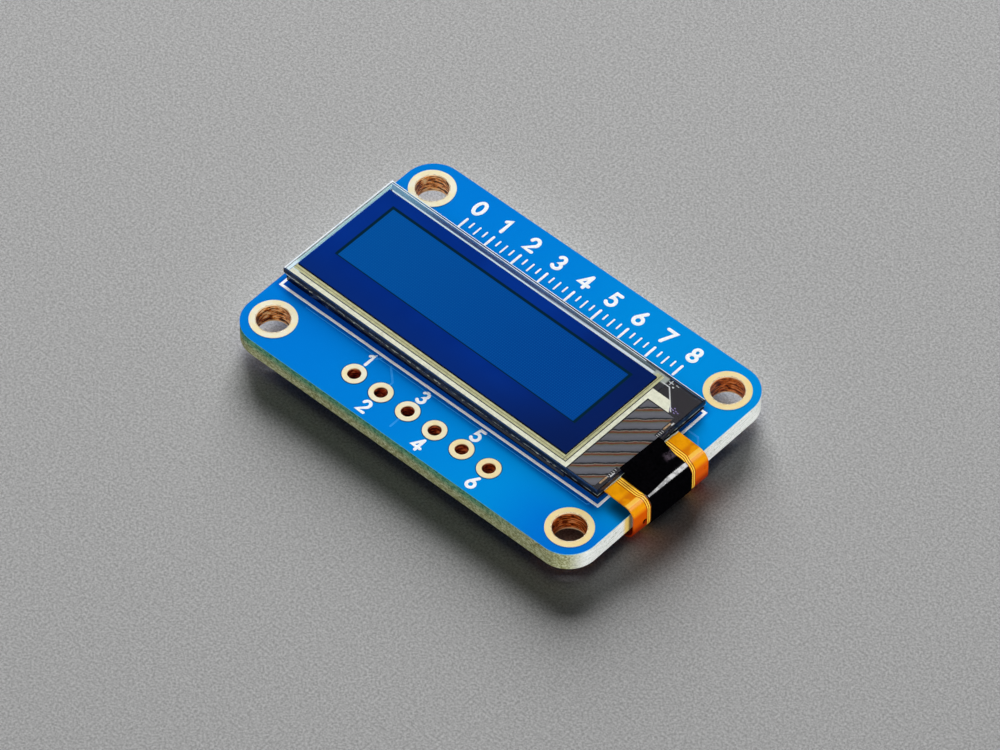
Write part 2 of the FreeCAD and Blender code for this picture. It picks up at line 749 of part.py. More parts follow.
def tail_solder():
    """The row of solder joints that fills the gap between the tail and the board's back."""
    body = new_body("tail_solder")
    joint = sketch_on(body, "joint", offset="-dims.tail_gap")
    centre_x = f"{TAIL_END} + dims.finger_length / 2"
    centre_y = f"({FINGER_COUNT} - 1) / 2 * dims.finger_pitch"
    draw_rectangle(joint, "joint", "dims.finger_length", "dims.finger_width", centre_x, centre_y)
    first = pad(body, joint, "dims.tail_gap")
    doc.recompute()
    row = body.newObject("PartDesign::LinearPattern", "tail_solder_row")
    row.Originals = [first]
    row.Direction = (origin_plane(body, "XZ_Plane"), [""])
    row.Mode = "Spacing"
    row.setExpression("Offset", "dims.finger_pitch")
    row.Occurrences = FINGER_COUNT
    body.Tip = row
    doc.recompute()
    if len(body.Shape.Solids) != FINGER_COUNT:
        raise RuntimeError("the tail's solder joints run together")
    place_on_flex(body)


# Parts on the board's back. Each is drawn standing up and then turned over, its feet against the board.
UPSIDE_DOWN = FreeCAD.Rotation(0, 0, 180)
UPSIDE_DOWN_TURNED = FreeCAD.Rotation(90, 0, 180)


def moulded_package(label, kind, leads, x, y, rotation=UPSIDE_DOWN):
    """A resin body with sloping sides, and its bent leads as separate solids of one sub-part."""
    height = f"dims.{kind}_height"
    middle = f"(({height} + dims.package_gap) / 2)"
    body = new_body(f"{label}_body")
    outline = sketch_on(body, "outline", offset=middle)
    draw_rectangle(outline, "resin", f"dims.{kind}_length", f"dims.{kind}_width")
    resin = pad(body, outline, f"{height} - {middle}")
    resin.SideType = "Two sides"
    resin.setExpression("Length2", f"{middle} - dims.package_gap")
    resin.setExpression("TaperAngle", "-dims.package_draft")
    resin.setExpression("TaperAngle2", "-dims.package_draft")
    place(body, x, y, "0", rotation=rotation)

    frame = new_body(f"{label}_leads")
    near = f"dims.{kind}_width / 2"
    far = f"dims.{kind}_span / 2"
    thick = "dims.lead_thickness"
    shoulder = f"({near} + dims.lead_shoulder)"
    ankle = f"({far} - dims.lead_foot)"
    under = f"({middle} - {thick} / 2)"
    over = f"({middle} + {thick} / 2)"
    bent = [
        (near, under),
        (shoulder, under),
        (ankle, "0"),
        (far, "0"),
        (far, thick),
        (f"{ankle} + {thick}", thick),
        (f"{shoulder} + {thick}", over),
        (near, over),
    ]
    for index, (place_along, side) in enumerate(leads):
        profile = sketch_on(frame, f"profile{index}", "YZ_Plane", f"{place_along} * dims.lead_pitch")
        draw_polygon(profile, "lead", [(f"{side} * ({across})", up) for across, up in bent])
        pad(frame, profile, "dims.lead_width", symmetric=True)
    place(frame, x, y, "0", rotation=rotation)


def chip_part(label, kind, height, x, y, rotation=UPSIDE_DOWN):
    """A brick-shaped chip part: its ceramic middle, and its two metal ends with their solder."""
    length = f"dims.{kind}_length"
    width = f"dims.{kind}_width"
    end = f"dims.{kind}_end"
    middle = new_body(f"{label}_body")
    outline = sketch_on(middle, "outline", offset="dims.chip_gap")
    draw_rectangle(outline, "brick", f"{length} - 2 * {end}", f"{width} - 2 * dims.cap_lip")
    pad(middle, outline, f"{height} - dims.cap_lip - dims.chip_gap")
    place(middle, x, y, "0", rotation=rotation)

    ends = new_body(f"{label}_ends")
    profile = sketch_on(ends, "profile", "XZ_Plane")
    inner = f"({length} / 2 - {end})"
    outer = f"({length} / 2)"
    draw_polygon(
        profile,
        "end",
        [
            (inner, "0"),
            (f"{outer} + dims.solder_toe", "0"),
            (outer, f"{height} / 2"),
            (outer, height),
            (inner, height),
        ],
    )
    first = pad(ends, profile, width, symmetric=True)
    doc.recompute()
    pair = ends.newObject("PartDesign::Mirrored", f"{label}_pair")
    pair.Originals = [first]
    pair.MirrorPlane = (origin_plane(ends, "YZ_Plane"), [""])
    ends.Tip = pair
    place(ends, x, y, "0", rotation=rotation)


def power_supply():
    """The regulator, the large capacitor at its output and the one at its input, nearer the header."""
    leads = [(-1, 1), (0, 1), (1, 1), (-1, -1), (1, -1)]
    x = "dims.supply_inset - dims.board_length / 2"
    moulded_package("regulator", "regulator", leads, x, "dims.regulator_y")
    for label in ("output_capacitor", "input_capacitor"):
        chip_part(label, "bulk", "dims.bulk_height", x, f"dims.{label}_y")


def level_shifters():
    """The two transistors, each with the pair of pull-up resistors beside it."""
    pullup = 0
    for index in range(2):
        x = f"(dims.transistor_x + {index} * dims.transistor_pitch)"
        leads = [(-1, 1), (1, 1), (0, -1)]
        moulded_package(f"transistor_{index + 1}", "transistor", leads, x, "dims.transistor_y")
        for side in (-1, 1):
            pullup += 1
            place_x = f"{x} + {side} * dims.pullup_spacing / 2"
            place_y = "dims.transistor_y + dims.pullup_offset"
            label = f"pullup_resistor_{pullup}"
            chip_part(label, "small", "dims.resistor_height", place_x, place_y, UPSIDE_DOWN_TURNED)


def reset_parts():
    """The diode, capacitor and resistor that hold the display in reset at switch-on."""
    leads = [(0, 1), (0, -1)]
    moulded_package("reset_diode", "diode", leads, "dims.reset_x", "dims.reset_y", UPSIDE_DOWN_TURNED)
    above = "dims.reset_y + dims.reset_pitch"
    chip_part("reset_capacitor", "small", "dims.capacitor_height", "dims.reset_x", above)
    below = f"{above} + dims.small_width + dims.reset_pitch / 3"
    chip_part("reset_resistor", "small", "dims.resistor_height", "dims.reset_x", below)


def display_supply():
    """The large reservoir capacitor, the charge pump's capacitors and the current-setting resistor, in a column."""
    x = "dims.board_length / 2 - dims.tail_inset - dims.pump_setback"
    chip_part("reservoir_capacitor", "bulk", "dims.bulk_height", x, "dims.reservoir_y")
    column = "dims.reservoir_y + dims.pump_offset"
    for index in range(PUMP_COUNT):
        y = f"{column} + {index} * dims.pump_pitch"
        chip_part(f"pump_capacitor_{index + 1}", "small", "dims.capacitor_height", x, y)
    resistor_y = f"{column} + {PUMP_COUNT} * dims.pump_pitch"
    chip_part("current_resistor", "small", "dims.resistor_height", x, resistor_y)


def build():
    """Make every sub-part."""
    circuit_board()
    for index, (x, y) in enumerate(mount_places(), 1):
        plated_barrel(f"mount_plating_{index}", "dims.mount_hole", "dims.mount_ring", x, y)
    for index, x in enumerate(header_places(), 1):
        plated_barrel(f"header_plating_{index}", "dims.header_hole", "dims.header_ring", x, HEADER_ROW)
    adhesive_strip()
    cap_glass()
    desiccant_sheet()
    edge_seal()
    substrate_glass()
    polarizer()
    pixel_matrix()
    supply_track()
    cathode_track()
    fanout_film()
    driver_chip()
    chip_shield()
    flex_circuit()
    cover_tape()
    tail_solder()
    power_supply()
    level_shifters()
    reset_parts()
    display_supply()
    doc.recompute()


def check():
    """Stop if a feature failed or a sub-part has no sound shape."""
    for feature in doc.Objects:
        if "Invalid" in feature.State or "Error" in feature.State:
            raise RuntimeError(f"{feature.Label} failed: {feature.State}")
    for piece in pieces:
        if piece.Shape.isNull() or not piece.Shape.isValid() or not piece.Shape.Solids:
            raise RuntimeError(f"{piece.Label} has no sound shape")


def export():
    """Write each sub-part to a file of its own name."""
    os.makedirs("parts", exist_ok=True)
    for piece in pieces:
        piece.Shape.exportStep(f"parts/{piece.Label}.step")


build()
check()
export()
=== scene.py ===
"""Looks of the small display module: its finishes, the print on its board, its solder and the studio.

Lengths in this script are millimetres of the part's own frame, and turn into metres where a mesh is made.
"""
import math
import random
import re

import bmesh
import bpy
from mathutils import Matrix, Vector

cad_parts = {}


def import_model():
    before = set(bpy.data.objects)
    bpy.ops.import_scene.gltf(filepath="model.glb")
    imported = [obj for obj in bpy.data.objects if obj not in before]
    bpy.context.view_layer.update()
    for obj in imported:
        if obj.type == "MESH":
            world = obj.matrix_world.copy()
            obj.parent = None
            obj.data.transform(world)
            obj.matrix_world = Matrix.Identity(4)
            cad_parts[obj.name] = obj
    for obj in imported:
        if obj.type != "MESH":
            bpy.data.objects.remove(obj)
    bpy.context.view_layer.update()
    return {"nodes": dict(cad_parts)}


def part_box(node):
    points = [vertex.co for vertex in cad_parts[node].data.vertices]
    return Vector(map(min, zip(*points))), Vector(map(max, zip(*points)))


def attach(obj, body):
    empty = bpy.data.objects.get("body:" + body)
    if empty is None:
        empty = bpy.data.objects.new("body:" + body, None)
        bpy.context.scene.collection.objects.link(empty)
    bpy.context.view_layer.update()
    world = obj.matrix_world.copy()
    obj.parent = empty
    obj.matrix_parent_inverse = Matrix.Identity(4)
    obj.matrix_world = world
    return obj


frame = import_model()
nodes = frame["nodes"]

MM = 0.001

# Camera of the photograph
CAMERA_AZIMUTH = 42.215
CAMERA_ELEVATION = 50.015
CAMERA_TARGET = (1.26, -1.35, 1.6)
CAMERA_DISTANCE = 526.8
CAMERA_LENS = 271.7
CAMERA_SENSOR = 36

# The panel and the flexible circuit lie a little askew on the board
PANEL_SKEW = math.radians(-0.57)
FLEX_SKEW = math.radians(-2.5)
FLEX_ORIGIN = (13.99, -0.96)

# Print on the board
INK_HEIGHT = 0.02
PIN_COUNT = 6
PIN_PITCH = 2.54
PIN_ROW = -8.11
PIN_DIGIT = 1.25
PIN_GAP_ABOVE = 1.02
PIN_GAP_BELOW = 1.03
SCALE_STEPS = 9
SCALE_DIGIT = 1.45
SCALE_BASE = 8.4
SCALE_TICK_TOP = 7.8
SCALE_TICK_LONG = 1.0
SCALE_TICK_WIDE = 0.2
SCALE_TICK_THIN = 0.14
# Share of the pitch and length of the ticks between two numbers
SCALE_TICKS_BETWEEN = ((0.25, 0.5), (0.5, 0.75), (0.75, 0.5))


def low(node):
    """The lowest corner of a part in millimetres."""
    return Vector(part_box(node)[0]) / MM


def high(node):
    """The highest corner of a part in millimetres."""
    return Vector(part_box(node)[1]) / MM


BOARD_TOP = high("printed_board").z
BOARD_BACK = low("printed_board").z
PANEL_CENTRE = (low("substrate_glass") + high("substrate_glass")) / 2
GLASS_UNDER = low("substrate_glass").z
GLASS_TOP = high("substrate_glass").z
FLOOR_LEVEL = low("output_capacitor_body").z
# Lower face of the flexible circuit's tail
TAIL_UNDER = -0.18
# Start of the bare ledge in the panel's own frame
LEDGE_START = 11.88


def srgb(red, green, blue):
    """A colour given as it looks on a screen, 0 to 255, as the shader's linear colour."""
    def linear(part):
        share = part / 255
        return share / 12.92 if share <= 0.04045 else ((share + 0.055) / 1.055) ** 2.4
    return (linear(red), linear(green), linear(blue), 1.0)


def turned_point(origin, angle, x, y):
    """A point of a frame that is turned on the board, in the part's frame."""
    turned = Matrix.Rotation(angle, 2) @ Vector((x, y))
    return origin[0] + turned.x, origin[1] + turned.y


def on_panel(x, y):
    return turned_point(PANEL_CENTRE, PANEL_SKEW, x, y)


def on_flex(u, v):
    return turned_point(FLEX_ORIGIN, FLEX_SKEW, u, v)


def panel_half():
    """Half the length and half the width of the display glass, from the box that it fills askew."""
    size = (high("substrate_glass") - low("substrate_glass")) / 2
    cos, sin = math.cos(PANEL_SKEW), abs(math.sin(PANEL_SKEW))
    double = math.cos(2 * PANEL_SKEW)
    return (size.x * cos - size.y * sin) / double, (size.y * cos - size.x * sin) / double


PANEL_HALF = panel_half()


# Materials

def feed(tree, socket, source):
    """Gives an input a field, another node's output or a plain value."""
    source = getattr(source, "socket", source)
    if isinstance(source, bpy.types.NodeSocket):
        tree.links.new(source, socket)
    else:
        socket.default_value = source


def add_node(tree, kind, sources=None, **settings):
    """A new shader node. Its sources feed its inputs, by name or by number."""
    node = tree.nodes.new("ShaderNode" + kind)
    for name, setting in settings.items():
        setattr(node, name, setting)
    for key, source in (sources or {}).items():
        feed(tree, node.inputs[key], source)
    return node


class Field:
    """A value that a material works out at each place. Fields are summed and multiplied like numbers."""

    def __init__(self, tree, socket):
        self.tree = tree
        self.socket = socket

    def made(self, operation, first, second=0.0):
        """The field that a mathematical node makes of two fields or numbers."""
        node = add_node(self.tree, "Math", {0: first, 1: second}, operation=operation)
        return Field(self.tree, node.outputs[0])

    def __add__(self, other):
        return self.made("ADD", self, other)

    def __radd__(self, other):
        return self.made("ADD", other, self)

    def __sub__(self, other):
        return self.made("SUBTRACT", self, other)

    def __rsub__(self, other):
        return self.made("SUBTRACT", other, self)

    def __mul__(self, other):
        return self.made("MULTIPLY", self, other)

    def __truediv__(self, other):
        return self.made("DIVIDE", self, other)

    def __lt__(self, other):
        return self.made("LESS_THAN", self, other)

    def __abs__(self):
        return self.made("ABSOLUTE", self)


class Shader:
    """A node material built step by step. Its places are millimetres of the part's frame."""

    def __init__(self, name):
        self.material = bpy.data.materials.new(name)
        self.material.use_nodes = True
        self.tree = self.material.node_tree
        self.tree.nodes.clear()
        self.surface = add_node(self.tree, "BsdfPrincipled")
        self.output = add_node(self.tree, "OutputMaterial", {"Surface": self.surface.outputs["BSDF"]})
        where = add_node(self.tree, "TexCoord").outputs["Object"]
        self.place = self.vector("SCALE", {0: where, "Scale": 1 / MM})
        self.x, self.y, self.z = self.split(self.place)
        self.nx, self.ny, self.nz = self.split(add_node(self.tree, "NewGeometry").outputs["Normal"])

    def field(self, kind, sources, output=0, **settings):
        return Field(self.tree, add_node(self.tree, kind, sources, **settings).outputs[output])

    def math(self, operation, *sources):
        return self.field("Math", dict(enumerate(sources)), operation=operation)

    def vector(self, operation, sources):
        return self.field("VectorMath", sources, operation=operation)

    def split(self, source):
        node = add_node(self.tree, "SeparateXYZ", {0: source})
        return [Field(self.tree, socket) for socket in node.outputs]

    def most(self, first, *others):
        """The largest of some fields."""
        for other in others:
            first = self.math("MAXIMUM", first, other)
        return first

    def rise(self, value, start, end):
        """0 before start and 1 past end, with a smooth step between. With start above end it falls."""
        sources = {"Value": value, "From Min": start, "From Max": end}
        return self.field("MapRange", sources, interpolation_type="SMOOTHSTEP")

    def band(self, value, start, end, soft):
        """1 between start and end, 0 outside, with soft edges."""
        half = soft / 2
        return self.rise(value, start - half, start + half) * self.rise(value, end + half, end - half)

    def turned(self, centre, angle):
        """The place in the own frame of an askew part, with its middle at nought."""
        away = self.vector("SUBTRACT", {0: self.place, 1: (centre[0], centre[1], 0)})
        turned = self.field("VectorRotate", {"Vector": away, "Angle": -angle}, rotation_type="Z_AXIS")
        return self.split(turned)

    def noise(self, scale, detail=3, roughness=0.55, stretch=(1, 1, 1), shift=(0, 0, 0)):
        place = self.vector("MULTIPLY", {0: self.place, 1: stretch})
        place = self.vector("ADD", {0: place, 1: shift})
        sources = {"Vector": place, "Scale": scale, "Detail": detail, "Roughness": roughness}
        return self.field("TexNoise", sources)

    def mix(self, factor, *colours):
        """A colour between two. Each is a field, or red, green and blue from 0 to 255."""
        first, second = (colour if isinstance(colour, Field) else srgb(*colour) for colour in colours)
        return self.field("Mix", {0: factor, 6: first, 7: second}, 2, data_type="RGBA")

    def blend(self, factor, first, second):
        """A number between two."""
        return self.field("Mix", {0: factor, 2: first, 3: second})

    def ramp(self, factor, *stops):
        """Colours along a field. A stop is a position, then red, green and blue from 0 to 255."""
        node = add_node(self.tree, "ValToRGB", {0: factor})
        elements = node.color_ramp.elements
        while len(elements) < len(stops):
            elements.new(1.0)
        for element, (position, *colour) in zip(elements, stops):
            element.position = position
            element.color = srgb(*colour)
        return Field(self.tree, node.outputs[0])

    def put(self, name, source):
        """Gives an input of the surface a field or a plain value."""
        feed(self.tree, self.surface.inputs[name], source)

    def colour(self, source):
        self.put("Base Color", source)

    def rough(self, source):
        self.put("Roughness", source)

    def metal(self, source):
        self.put("Metallic", source)

    def gloss(self, level):
        """Strength of the mirror-like shine, 0.5 for plain plastic or glass."""
        self.put("Specular IOR Level", level)

    def bump(self, height, depth, strength):
        """Relief: a height from 0 to 1 stands depth millimetres proud."""
        sources = {"Strength": strength, "Distance": depth * MM, "Height": height}
        self.put("Normal", self.field("Bump", sources))


def board_finish():
    """Blue solder mask on the faces, and raw milled laminate on the edges, with painted shade, sheen,
    highlight and reflection.
    """
    look = Shader("blue_laminate")
    wide = look.noise(0.12, 2)
    # Painted sheen: the mask lighter towards +x.
    along = look.rise(look.x, -16, 16) + wide * 0.3
    mask = look.ramp(along, (0.1, 0, 119, 212), (0.6, 0, 127, 214), (1.0, 0, 138, 217))
    corner = look.rise(look.x, 7, 14) * look.rise(look.y, -5, -9)
    mask = look.mix(corner, mask, (0, 110, 207))
    # Painted shade: the mask darker round the panel, where its shadow falls.
    under = look.turned(PANEL_CENTRE, PANEL_SKEW)
    near_x = look.band(under[0], -15.1, 15.2, 1.0)
    near_y = look.band(under[1], -6.3, 5.8, 1.0)
    near = near_x * near_y * look.rise(look.nz, 0.2, 0.6)
    mask = look.mix(near * 0.8, mask, (0, 40, 150))
    fleck = look.rise(look.noise(9, 4, 0.7), 0.5, 0.75)
    mask = look.mix(fleck * 0.1, mask, (0, 150, 228))
    pad = (high("header_plating_1").x - low("header_plating_1").x) / 2
    column = look.math("FRACT", look.x / PIN_PITCH)
    aside = (column - 0.5) * PIN_PITCH
    away = look.y - PIN_ROW
    reach = look.math("SQRT", aside * aside + away * away)
    in_row = abs(look.x) < PIN_COUNT / 2 * PIN_PITCH
    outline = look.band(reach, pad, pad + 0.07, 0.03) * in_row
    mask = look.mix(outline * 0.8, mask, (20, 44, 84))
    on_flex_u, on_flex_v, _ = look.turned(FLEX_ORIGIN, FLEX_SKEW)
    shade = look.rise(on_flex_v, -4.9, -3.7) * look.rise(on_flex_u, -0.2, 1.4)
    shade *= look.rise(on_flex_v, 0.5, 0.0)
    mask = look.mix(shade * 0.85, mask, (0, 30, 44))

    layers = look.noise(1.0, 3, 0.6, stretch=(1.2, 1.2, 16))
    fibre = look.noise(7, 4, 0.75)
    grain = layers * 0.6 + fibre * 0.5
    pale = look.ramp(grain, (0.36, 150, 156, 140), (0.5, 226, 232, 226), (0.64, 250, 252, 250))
    # Painted reflection of the orange flexible circuit on the board's right edge.
    flex_reflection = look.band(look.y, -5.2, -4.5, 0.4) * look.rise(look.nx, 0.5, 0.8)
    pale = look.mix(flex_reflection * 0.8, pale, (236, 196, 40))
    speck = look.noise(5, 5, 0.8, stretch=(1, 1, 1.3), shift=(7, 3, 1))
    olive = look.ramp(
        speck,
        (0.36, 94, 92, 52), (0.46, 148, 150, 104), (0.56, 190, 194, 152), (0.68, 228, 230, 204),
    )
    teal = look.mix(look.rise(speck, 0.38, 0.62), (20, 112, 92), (120, 176, 138))
    rim = look.rise(look.z, 0.45, 1.35)
    along = look.rise(look.x + speck * 5, 15.5, 9)
    front = look.mix(rim * along, olive, teal)
    to_front = look.rise(look.ny, -0.25, -0.85)
    side = look.mix(to_front, pale, front)
    # Painted highlight: a light cyan line along the top of the edges.
    lip = look.rise(look.z, BOARD_TOP - 0.1, BOARD_TOP - 0.04)
    side = look.mix(lip * 0.85, side, (110, 200, 236))
    flat = look.rise(abs(look.nz), 0.6, 0.9)
    look.colour(look.mix(flat, side, mask))
    look.rough(look.blend(flat, 0.75, look.blend(look.noise(2.5), 0.24, 0.4)))
    weave = look.noise(1.6, 2) * flat
    relief = look.blend(flat, layers + fibre, weave)
    look.bump(relief, 0.02, 0.5)
    look.gloss(0.06)
    return look.material


def gold_finish(name, dark, middle, bright, pale):
    """Gold flash on the rings, and the drilled, plated wall inside the hole with its broken rings."""
    look = Shader(name)
    half = BOARD_TOP / 2
    tint = look.noise(1.1, 3)
    ring = look.ramp(tint, (0.3, 255, 240, 188), (0.65, 255, 251, 228))
    # Painted shade: the rings a deeper, darker gold towards +x.
    ring = look.mix(look.rise(look.x, -6, 13), ring, look.mix(0.6, ring, (255, 222, 132)))
    streak = look.noise(2.2, 2, 0.7, stretch=(0.8, 0.8, 3.8))
    wall = look.ramp(streak, (0.43, *dark), (0.49, *middle), (0.55, *bright), (0.61, *pale))
    # The wall redder and more saturated towards +x.
    redder_wall = look.ramp(streak, (0.42, 66, 12, 0), (0.5, 176, 62, 4), (0.6, 236, 128, 40))
    wall = look.mix(look.rise(look.x, 4, 11) * 0.75, wall, redder_wall)
    wall = look.mix(look.rise(abs(look.z - half), half - 0.12, half), wall, (250, 222, 172))
    flat = look.rise(abs(look.nz), 0.4, 0.8)
    look.colour(look.mix(flat, wall, ring))
    look.metal(look.blend(flat, 0.05, 0.2))
    look.rough(look.blend(flat, 0.45, look.blend(tint, 0.26, 0.46)))
    look.bump(look.blend(flat, streak, look.noise(6, 3)), 0.04, 0.7)
    return look.material


def tape_finish():
    """Black tape, dull where it lies flat and drawn tight and glossy over the bend."""
    look = Shader("black_tape")
    u, v, _ = look.turned(FLEX_ORIGIN, FLEX_SKEW)
    grain = look.noise(5, 4, 0.6)
    black = look.ramp(grain, (0.3, 1, 1, 2), (0.75, 9, 8, 11))
    # Painted reflection: a faint purplish blotch near a crease in the tape.
    crease_reflection = look.band(u, 0.95, 1.5, 0.4) * look.rise(v, 1.0, 1.6)
    crease_reflection *= look.rise(look.noise(1.6, 4, 0.7, shift=(4, 2, 0)), 0.42, 0.62)
    look.colour(look.mix(crease_reflection, black, (92, 80, 92)))
    look.rough(look.blend(grain, 0.4, 0.6))
    look.gloss(0.0)
    tight = look.rise(u, 2.0, 2.12) * look.rise(look.nz, 0.74, 0.81)
    slack = look.nz - look.rise(v, -2.4, 1.4) * 0.1
    tight *= look.rise(slack, 0.9, 0.87)
    worn = look.blend(look.rise(look.noise(2.4, 4, 0.7, stretch=(1, 1, 3)), 0.42, 0.58), 0.5, 1.0)
    look.put("Coat Weight", tight * worn)
    look.put("Coat Roughness", 0.12)
    look.bump(look.noise(1.1, 3), 0.02, 0.6)
    return look.material


def cap_glass_finish():
    look = Shader("panel_glass_dark")
    edge = look.noise(1.5, 4, 0.7, stretch=(1, 1, 3))
    look.colour(look.ramp(edge, (0.4, 4, 6, 12), (0.55, 10, 16, 34), (0.66, 52, 66, 92)))
    look.rough(look.blend(edge, 0.04, 0.16))
    look.gloss(0.25)
    look.bump(edge, 0.01, 0.4)
    return look.material


def display_glass_finish():
    """Clear glass that lets lamps through, so that the films under it are lit."""
    look = Shader("panel_glass")
    smear = look.noise(0.5, 3)
    look.colour(look.ramp(smear, (0.3, 247, 249, 249), (0.7, 253, 253, 253)))
    look.rough(0.0)
    look.gloss(0.25)
    look.put("Transmission Weight", 1.0)
    look.put("IOR", 1.5)
    look.bump(look.noise(0.8, 2), 0.004, 0.25)
    clear = add_node(look.tree, "BsdfTransparent", {0: srgb(248, 250, 250)})
    rays = add_node(look.tree, "LightPath")
    sources = {0: rays.outputs["Is Shadow Ray"], 1: look.surface.outputs[0], 2: clear.outputs[0]}
    choice = add_node(look.tree, "MixShader", sources)
    feed(look.tree, look.output.inputs["Surface"], choice.outputs[0])
    return look.material


def ground_finish():
    """The ground side of the display glass: nearly black, with a painted bluish reflection along the top of
    its front face and a broken pale seam below, partly painted glints.
    """
    look = Shader("ground_edge")
    streak = look.noise(1.3, 5, 0.8, stretch=(1.6, 1.6, 5))
    colour = look.ramp(streak, (0.42, 3, 5, 12), (0.56, 10, 18, 40), (0.66, 66, 84, 110))
    # Painted reflection: a bluish band along the top of the front face.
    top = look.rise(look.z, GLASS_TOP - 0.14, GLASS_TOP - 0.06) * look.rise(look.ny, -0.3, -0.6)
    colour = look.mix(top * 0.8, colour, (34, 72, 120))
    # The pale seam: partly its own colour, partly painted glints.
    foot = look.rise(look.z, GLASS_UNDER + 0.09, GLASS_UNDER + 0.05)
    broken = look.rise(look.noise(2.2, 4, 0.7, shift=(5, 1, 0)), 0.46, 0.56)
    colour = look.mix(foot * broken, colour, (176, 182, 160))
    look.colour(colour)
    look.rough(0.3)
    look.gloss(0.2)
    look.bump(streak, 0.01, 0.5)
    return look.material


def seal_finish():
    """Cured resin seen through the rear and left margins of the glass, in lines along its edges; the pale
    lines among them are painted glints of the glass's edges.
    """
    look = Shader("seal_resin")
    u, v, _ = look.turned(PANEL_CENTRE, PANEL_SKEW)
    from_rear = PANEL_HALF[1] - v
    from_left = PANEL_HALF[0] + u
    # The pale bands in these ramps are painted glints.
    rear = look.ramp(
        from_rear,
        (0.04, 6, 44, 90), (0.1, 36, 96, 150), (0.2, 0, 44, 100), (0.36, 0, 34, 88), (0.42, 30, 84, 140),
        (0.45, 216, 230, 238), (0.58, 204, 218, 228), (0.62, 8, 22, 56),
    )
    end = look.ramp(
        from_rear,
        (0.04, 20, 24, 34), (0.1, 118, 130, 132), (0.18, 96, 110, 112), (0.22, 48, 60, 62),
        (0.3, 54, 68, 72), (0.36, 226, 232, 236), (0.6, 206, 214, 222), (0.66, 10, 16, 34),
    )
    left = look.ramp(
        from_left,
        (0.04, 96, 130, 138), (0.1, 206, 232, 232), (0.16, 140, 178, 182), (0.26, 170, 206, 208),
        (0.34, 120, 156, 172), (0.42, 14, 30, 70),
    )
    colour = look.mix(look.rise(u, -3, 9), rear, end)
    # Painted light: a paler patch at the rear left.
    lit = look.rise(u, -9, -13.5) * look.rise(from_rear, 0.44, 0.4)
    colour = look.mix(lit * 0.6, colour, (120, 170, 190))
    colour = look.mix(from_left < from_rear, colour, left)
    colour = look.mix(look.rise(u, 11.15, 11.25), colour, (18, 12, 24))
    patch = look.band(u, 10.5, 11.75, 0.15) * look.band(from_rear, 0.1, 0.75, 0.12)
    colour = look.mix(patch * 0.85, colour, (178, 184, 174))
    corner = look.rise(v, -4.0, -4.5) * look.rise(u, -13.8, -14.2)
    colour = look.mix(corner, colour, (224, 240, 248))
    grain = look.noise(3, 3)
    look.colour(look.mix(grain * 0.15, colour, (20, 40, 80)))
    look.rough(0.35)
    look.bump(grain, 0.008, 0.4)
    return look.material


def plain_finish(name, dark, light, scale=3.0, rough=(0.4, 0.6), metal=0.0, depth=0.01):
    """A fine uneven grain between two colours, with its scale, its range of roughness and its relief."""
    look = Shader(name)
    grain = look.noise(scale, 4, 0.6)
    look.colour(look.ramp(grain, (0.3, *dark), (0.7, *light)))
    look.rough(look.blend(grain, rough[0], rough[1]))
    look.metal(metal)
    look.bump(grain, depth, 0.5)
    return look.material


def cathode_finish():
    """Khaki metal with a thin brownish line along its middle."""
    look = Shader("khaki_film")
    u, v, _ = look.turned(PANEL_CENTRE, PANEL_SKEW)
    grain = look.noise(4, 3)
    base = look.ramp(grain, (0.3, 182, 180, 142), (0.7, 208, 205, 168))
    line = look.band(v, -4.73, -4.67, 0.04)
    line = look.most(line, look.band(u, 11.08, 11.16, 0.04))
    look.colour(look.mix(line * 0.7, base, (104, 94, 58)))
    look.rough(0.45)
    look.bump(grain, 0.004, 0.4)
    return look.material


# The conductors of the fan-out run level across the photograph
FANOUT_SLANT = math.radians(42.2)
FANOUT_PITCH = 0.995
FANOUT_PHASE = -0.445


def fanout_finish():
    """Grey ledge film crossed by slanting stripes, each with a rusty front edge and a dark rear edge."""
    look = Shader("fanout_metal")
    across = look.y * math.cos(FANOUT_SLANT) - look.x * math.sin(FANOUT_SLANT)
    wave = (look.noise(2.0, 3) - 0.5) * 0.22
    shifted = across + wave + FANOUT_PHASE * FANOUT_PITCH
    phase = look.math("FRACT", shifted / FANOUT_PITCH)
    stripe = look.ramp(
        phase,
        (0.0, 108, 108, 117), (0.3, 122, 121, 129), (0.52, 112, 111, 116), (0.6, 112, 104, 58),
        (0.67, 118, 44, 20), (0.73, 124, 52, 28), (0.78, 156, 142, 122), (0.82, 132, 128, 122),
        (0.85, 2, 2, 12), (0.94, 6, 6, 20), (0.98, 104, 104, 112),
    )
    tint = look.noise(3.5, 4, 0.7)
    look.colour(look.mix(tint * 0.3, stripe, (74, 72, 80)))
    look.rough(0.4)
    look.metal(0.1)
    look.bump(phase, 0.01, 0.3)
    return look.material


# Sides of the field of pixels in the panel's own frame: left, right, front, rear
ACTIVE_AREA = (-12.84, 9.61, -2.23, 3.47)
# Width of the painted shadow round the field of pixels
ACTIVE_SHADOW_WIDTH = 0.24
PIXEL_PITCH = 0.175


def pixel_dots(look, u, v):
    """1 on each dot of the field of pixels, 0 between the dots."""
    waves = [look.math("COSINE", axis * (2 * math.pi / PIXEL_PITCH)) for axis in (u, v)]
    return look.rise(waves[0] + waves[1], 0.2, 1.6)


